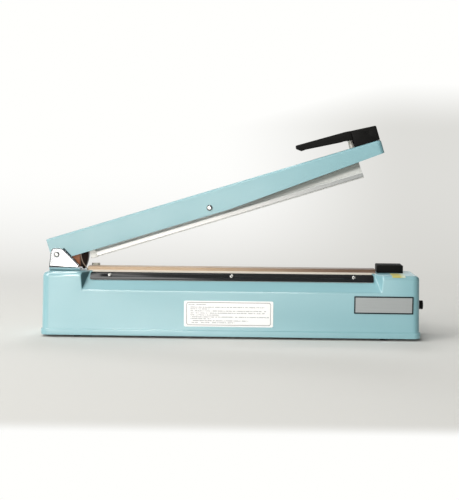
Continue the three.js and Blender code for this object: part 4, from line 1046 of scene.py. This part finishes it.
crossHead = makeScrewHead("crossHead", screwSettings, "cross")
slotHead = makeScrewHead("slotHead", screwSettings, "slot")
headRadius, headHeight = screwSettings["headRadius"], screwSettings["headHeight"]
for ending, turn in ((1, 20), (2, 52), (3, 33)):
    for place, side, further in (("front", -1, 0), ("rear", 1, 25)):
        nodeName = f"clamp_screw_{place}_{ending}"
        outward = (0, side * slopeUp[0], slopeUp[1])
        placeScrew(crossHead, nodeName, outward, turn + further, headRadius, headHeight)
armTurn = math.radians(spots["armAngle"])
screwRows = [  # name, endings, the way they face, turns in degrees and height of the head
    ("bracket_screw", (1, 2), (0, 0, 1), (10, 70), 1.6),
    ("foot_screw", corners, (0, 0, -1), (15, 60, 40, 5), 1.5),
    ("handle_screw", (1, 2), (math.sin(armTurn), 0, -math.cos(armTurn)), (25, 65), 1.6),
]
for stem, endings, axis, turns, height in screwRows:
    for ending, turn in zip(endings, turns):
        placeScrew(crossHead, f"{stem}_{ending}", axis, turn, headRadius, height)


# hinge bolt and the bar's pivot screw, head at the front
boltSettings = {
    "turn": 38, "headRadius": 2.9, "headHeight": 1.9,
    "shankRadius": 2.88, "shankStart": -17.4, "shankLength": 36.9,
    "washerRadius": 3.85, "washerBore": 2.9, "washerStart": -17.4, "washerThick": 0.85, "washerEdge": 0.15,
}
pivotSettings = {
    "turn": 65, "headRadius": 2.8, "headHeight": 1.2,
    "shankRadius": 1.95, "shankStart": -15.5, "shankLength": 32.8,
    "washerRadius": 4.0, "washerBore": 2.0, "washerStart": -15.6, "washerThick": 0.8, "washerEdge": 0.15,
}


def addBolt(template, nodeName, bodyName, x, z, s):
    placeScrew(template, nodeName, (0, -1, 0), s["turn"], s["headRadius"], s["headHeight"])
    shank = addRod(nodeName + "_shank", s["shankRadius"], (x, s["shankStart"], z), "y", s["shankLength"], 24)
    settle(shank, bodyName, "screw_steel", nodeName)
    front, thick = s["washerStart"], s["washerThick"]
    # the washer is real; its dark colour is painted shade and dark reflection at the head's rim
    washer = addRod(nodeName + "_washer", s["washerRadius"], (x, front, z), "y", thick, 40)
    carve(washer, addRod("washerBore", s["washerBore"], (x, front - 1, z), "y", thick + 2))
    mergePoints(washer)
    roundEdges(washer, s["washerEdge"], 2, 40)
    settle(washer, bodyName, "screw_steel", nodeName, smooth=35, look="dark_washer")


pivotLow, pivotHigh = (Vector(p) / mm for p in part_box("bar_pivot_screw"))
pivot = (pivotLow + pivotHigh) / 2
addBolt(slotHead, "hinge_bolt", "base", spots["pinX"], spots["pinZ"], boltSettings)
addBolt(crossHead, "bar_pivot_screw", "arm", pivot.x, pivot.z, pivotSettings)
for template in (crossHead, slotHead):
    bpy.data.objects.remove(template, do_unlink=True)
print("screws made")


# cloth over the sealing seat, drawn tight, with a few shallow creases
clothSettings = {
    "left": -204.2,
    "right": 196.5,
    "half": 10.66,
    "top": 95.32,
    "crown": (-7, -3.5, 0, 3.5, 7),
    "foot": 89.86,
    "hemStart": -197.1,
    "hemEnd": 190.9,
    "hemReach": 6.0,
    "hemRows": 3,
    "hemBend": (0.9, 0.02),
    "footBend": [(0.12, 0.5), (0, 1.7)],  # out and up from the foot
    "topBend": [(0, -2.0), (0, -0.35), (-0.35, 0)],  # and from the top
    "wallStart": 0.4,
    "over": 0.32,
    "thickness": 0.22,
    "steps": 200,
    "crease": 0.08,
    "creaseAlong": (0.21, 0.047, 0.83),
    "creaseAcross": 0.9,
    "creaseUp": 1.7,
    "creaseStart": 1.3,
    "fineCrease": 0.6,
}


def creaseAt(s, x, y, z):  # how far the cloth is drawn in there, never outwards
    slow, slower, fast = s["creaseAlong"]
    wave = math.sin(x * slow + y * s["creaseAcross"]) * math.sin(x * slower + s["creaseStart"])
    wave += s["fineCrease"] * math.sin(x * fast + z * s["creaseUp"])
    lift = max(0.0, (z - s["foot"]) / (s["top"] - s["foot"]))
    return s["crease"] * (wave - 1 - s["fineCrease"]) * lift


def makeCloth(s):
    half, foot, top = s["half"], s["foot"], s["top"]
    edge = (spots["ridgeHalf"] + s["over"] * math.tan(slopeAngle / 2), spots["baseTop"] + s["over"])
    low = (edge[0] + s["hemReach"] * slopeUp[1], edge[1] - s["hemReach"] * slopeUp[0])
    side = [low, edge, (half + s["hemBend"][0], edge[1] + s["hemBend"][1])]
    side += [(half + out, foot + up) for out, up in s["footBend"]]
    side += [(half + out, top + up) for out, up in s["topBend"]]
    outline = [(-y, z) for y, z in side] + [(y, top) for y in s["crown"]] + list(reversed(side))
    last = len(outline) - 1
    pickNothing()
    bpy.ops.mesh.primitive_grid_add(x_subdivisions=s["steps"], y_subdivisions=last, size=2)
    piece = bpy.context.object
    piece.name = "sealCloth"
    for point in piece.data.vertices:
        row = round((point.co.y + 1) / 2 * last)
        y, z = outline[row]
        hem = min(row, last - row)
        start, end = (s["hemStart"], s["hemEnd"]) if hem < s["hemRows"] else (s["left"], s["right"])
        x = start + (end - start) * (point.co.x + 1) / 2
        sink = creaseAt(s, x, y, z)
        if abs(y) > half - s["wallStart"] and hem >= s["hemRows"]:
            y -= sink
        elif hem >= len(side):
            z += sink / 2
        point.co = Vector((x, y, z)) * mm
    shellOf(piece, s["thickness"], 0, False)
    mergePoints(piece, reach=0)
    settle(piece, "base", "glass_cloth", "seal_cover", smooth=50)


makeCloth(clothSettings)


# hinge block: its front right edge is cut back, so that side turns from the light
blockSettings = {"cutLength": 9.6, "cutDepth": 11.18, "bevel": 0.4, "over": 3.0, "front": 6.0}


def makeHingeBlock(s):
    piece = copyOf("hinge_block")
    low, high = (Vector(p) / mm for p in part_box("hinge_block"))
    cutter = addBox("blockCut", (-1, -1, low.z - 2), (1, 1, high.z + 2))
    start, end = high.x - s["cutLength"], high.x + s["over"]
    for point in cutter.data.vertices:
        rear = point.co.y > 0
        if point.co.x > 0:
            x, y = end, low.y + (s["cutDepth"] if rear else -s["front"])
        else:  # nearly a point, so that the cut starts at the block's front
            x, y = (start + 0.01, low.y) if rear else (start, low.y - 0.001)
        point.co.x, point.co.y = x * mm, y * mm
    carve(piece, cutter)
    mergePoints(piece, 1.0)
    bevelAll(piece, s["bevel"], 2)
    settle(piece, "base", "phenolic", "hinge_block")


makeHingeBlock(blockSettings)


# cream cap that closes the pressing bar's left end
capSettings = {"start": 43.25, "end": 52.4, "top": -7.7, "bottom": -19.4, "half": 7.75, "round": 0.8,
               "slotDepth": 1.6, "slotHalf": 3.3, "slotBottom": -12.6}


def makeBarCap(s):
    start, end, half = s["start"], s["end"], s["half"]
    piece = addBox("bar_end_block_shaped", (start, -half, s["bottom"]), (end, half, s["top"]))
    roundEdges(piece, s["round"], 3, 40)
    slotLow = (end - s["slotDepth"], -s["slotHalf"], s["slotBottom"])
    carve(piece, addBox("capSlot", slotLow, (end + 1, s["slotHalf"], s["top"] + 1)))
    mergePoints(piece)
    ontoArm(piece)
    settle(piece, "bar", "cream_plastic", "bar_end_block")


makeBarCap(capSettings)


# plunger under the grip: a cup that slides into a plain sleeve, in the spring's place
plungerSettings = {
    "sleeveLow": 23.95, "sleeveHigh": 31.1, "sleeveRadius": 3.5, "bore": 3.12, "sleeveEdge": 0.12,
    "cupLow": 26.1, "cupHigh": 34.7, "cupRadius": 3.04, "cupEdge": 0.2,
    "collarRadius": 3.5, "collar": 0.9, "rodRadius": 1.5, "rodLow": 22.8,
}


def makePlunger(s):
    def rod(name, radius, low, high):
        return addRod(name, radius, (spots["plungerAlong"], 0, low), "z", high - low, 40)

    sleeve = rod("gripSleeve", s["sleeveRadius"], s["sleeveLow"], s["sleeveHigh"])
    carve(sleeve, rod("sleeveBore", s["bore"], s["sleeveLow"] - 1, s["sleeveHigh"] + 1))
    mergePoints(sleeve)
    roundEdges(sleeve, s["sleeveEdge"], 2, 40)
    cup = rod("plungerCup", s["cupRadius"], s["cupLow"], s["cupHigh"])
    carve(cup, rod("cupCollar", s["collarRadius"], s["cupHigh"] - s["collar"], s["cupHigh"]), "UNION")
    carve(cup, rod("cupRod", s["rodRadius"], s["rodLow"], s["cupLow"] + 1), "UNION")
    mergePoints(cup)
    roundEdges(cup, s["cupEdge"], 2, 40)
    for piece, bodyName, slotName, nodeName in ((sleeve, "arm", "spring_steel", "grip_spring"),
                                                (cup, "plunger", "screw_steel", "switch_plunger")):
        ontoArm(piece)
        settle(piece, bodyName, slotName, nodeName, look="plunger_grey")


makePlunger(plungerSettings)


# timer knob: a fluted skirt and a domed cap with a white pointer line
knobSettings = {
    "start": 255.8, "end": 264.6, "height": 45.6,
    "skirt": 3.0, "skirtRadius": 7.35, "skirtEdge": 0.4,
    "radius": 6.1, "sunk": 0.6, "flutes": 20, "fluteShare": 0.93, "dome": 1.5,
    "pointerHalf": 0.45, "pointerLow": 0.6, "pointerHigh": 4.2,
    "pointerSunk": 0.2, "pointerProud": 0.06, "pointerEdge": 0.05,
}


def makeKnob(s):
    middle = s["height"]
    skirtEnd = s["start"] + s["skirt"]
    skirtStart, capStart = (s["start"], 0, middle), (skirtEnd - s["sunk"], 0, middle)
    capLength = s["end"] - s["start"] - s["skirt"] + s["sunk"]
    piece = addRod("timer_knob_shaped", s["skirtRadius"], skirtStart, "x", s["skirt"], s["flutes"] * 2)
    roundEdges(piece, s["skirtEdge"], 2, 40, lambda a, b: min(a.x, b.x) > skirtEnd - 0.1)
    cap = addRod("knobCap", s["radius"], capStart, "x", capLength, s["flutes"] * 4)
    for point in cap.data.vertices:  # every other pair of points drawn in makes the flutes
        y, z = point.co.y / mm, point.co.z / mm - middle
        step = int(round(math.atan2(z, y) / (2 * math.pi) * s["flutes"] * 4)) % 4
        pull = s["fluteShare"] if step in (0, 1) else 1.0
        point.co.y, point.co.z = y * pull * mm, (z * pull + middle) * mm
    roundEdges(cap, s["dome"], 4, 40, lambda a, b: min(a.x, b.x) > s["end"] - 0.1)
    carve(piece, cap, "UNION")
    mergePoints(piece)
    settle(piece, "knob", "black_plastic", "timer_knob", smooth=35)
    low = (s["end"] - s["pointerSunk"], -s["pointerHalf"], middle + s["pointerLow"])
    high = (s["end"] + s["pointerProud"], s["pointerHalf"], middle + s["pointerHigh"])
    line = addBox("knobPointer", low, high)
    roundEdges(line, s["pointerEdge"], 1, 40)
    settle(line, "knob", "black_plastic", look="pointer_white")


makeKnob(knobSettings)
nodes["grip_pivot_pin"].data.materials[0] = finishes["dark_pin"]
print("small parts made")
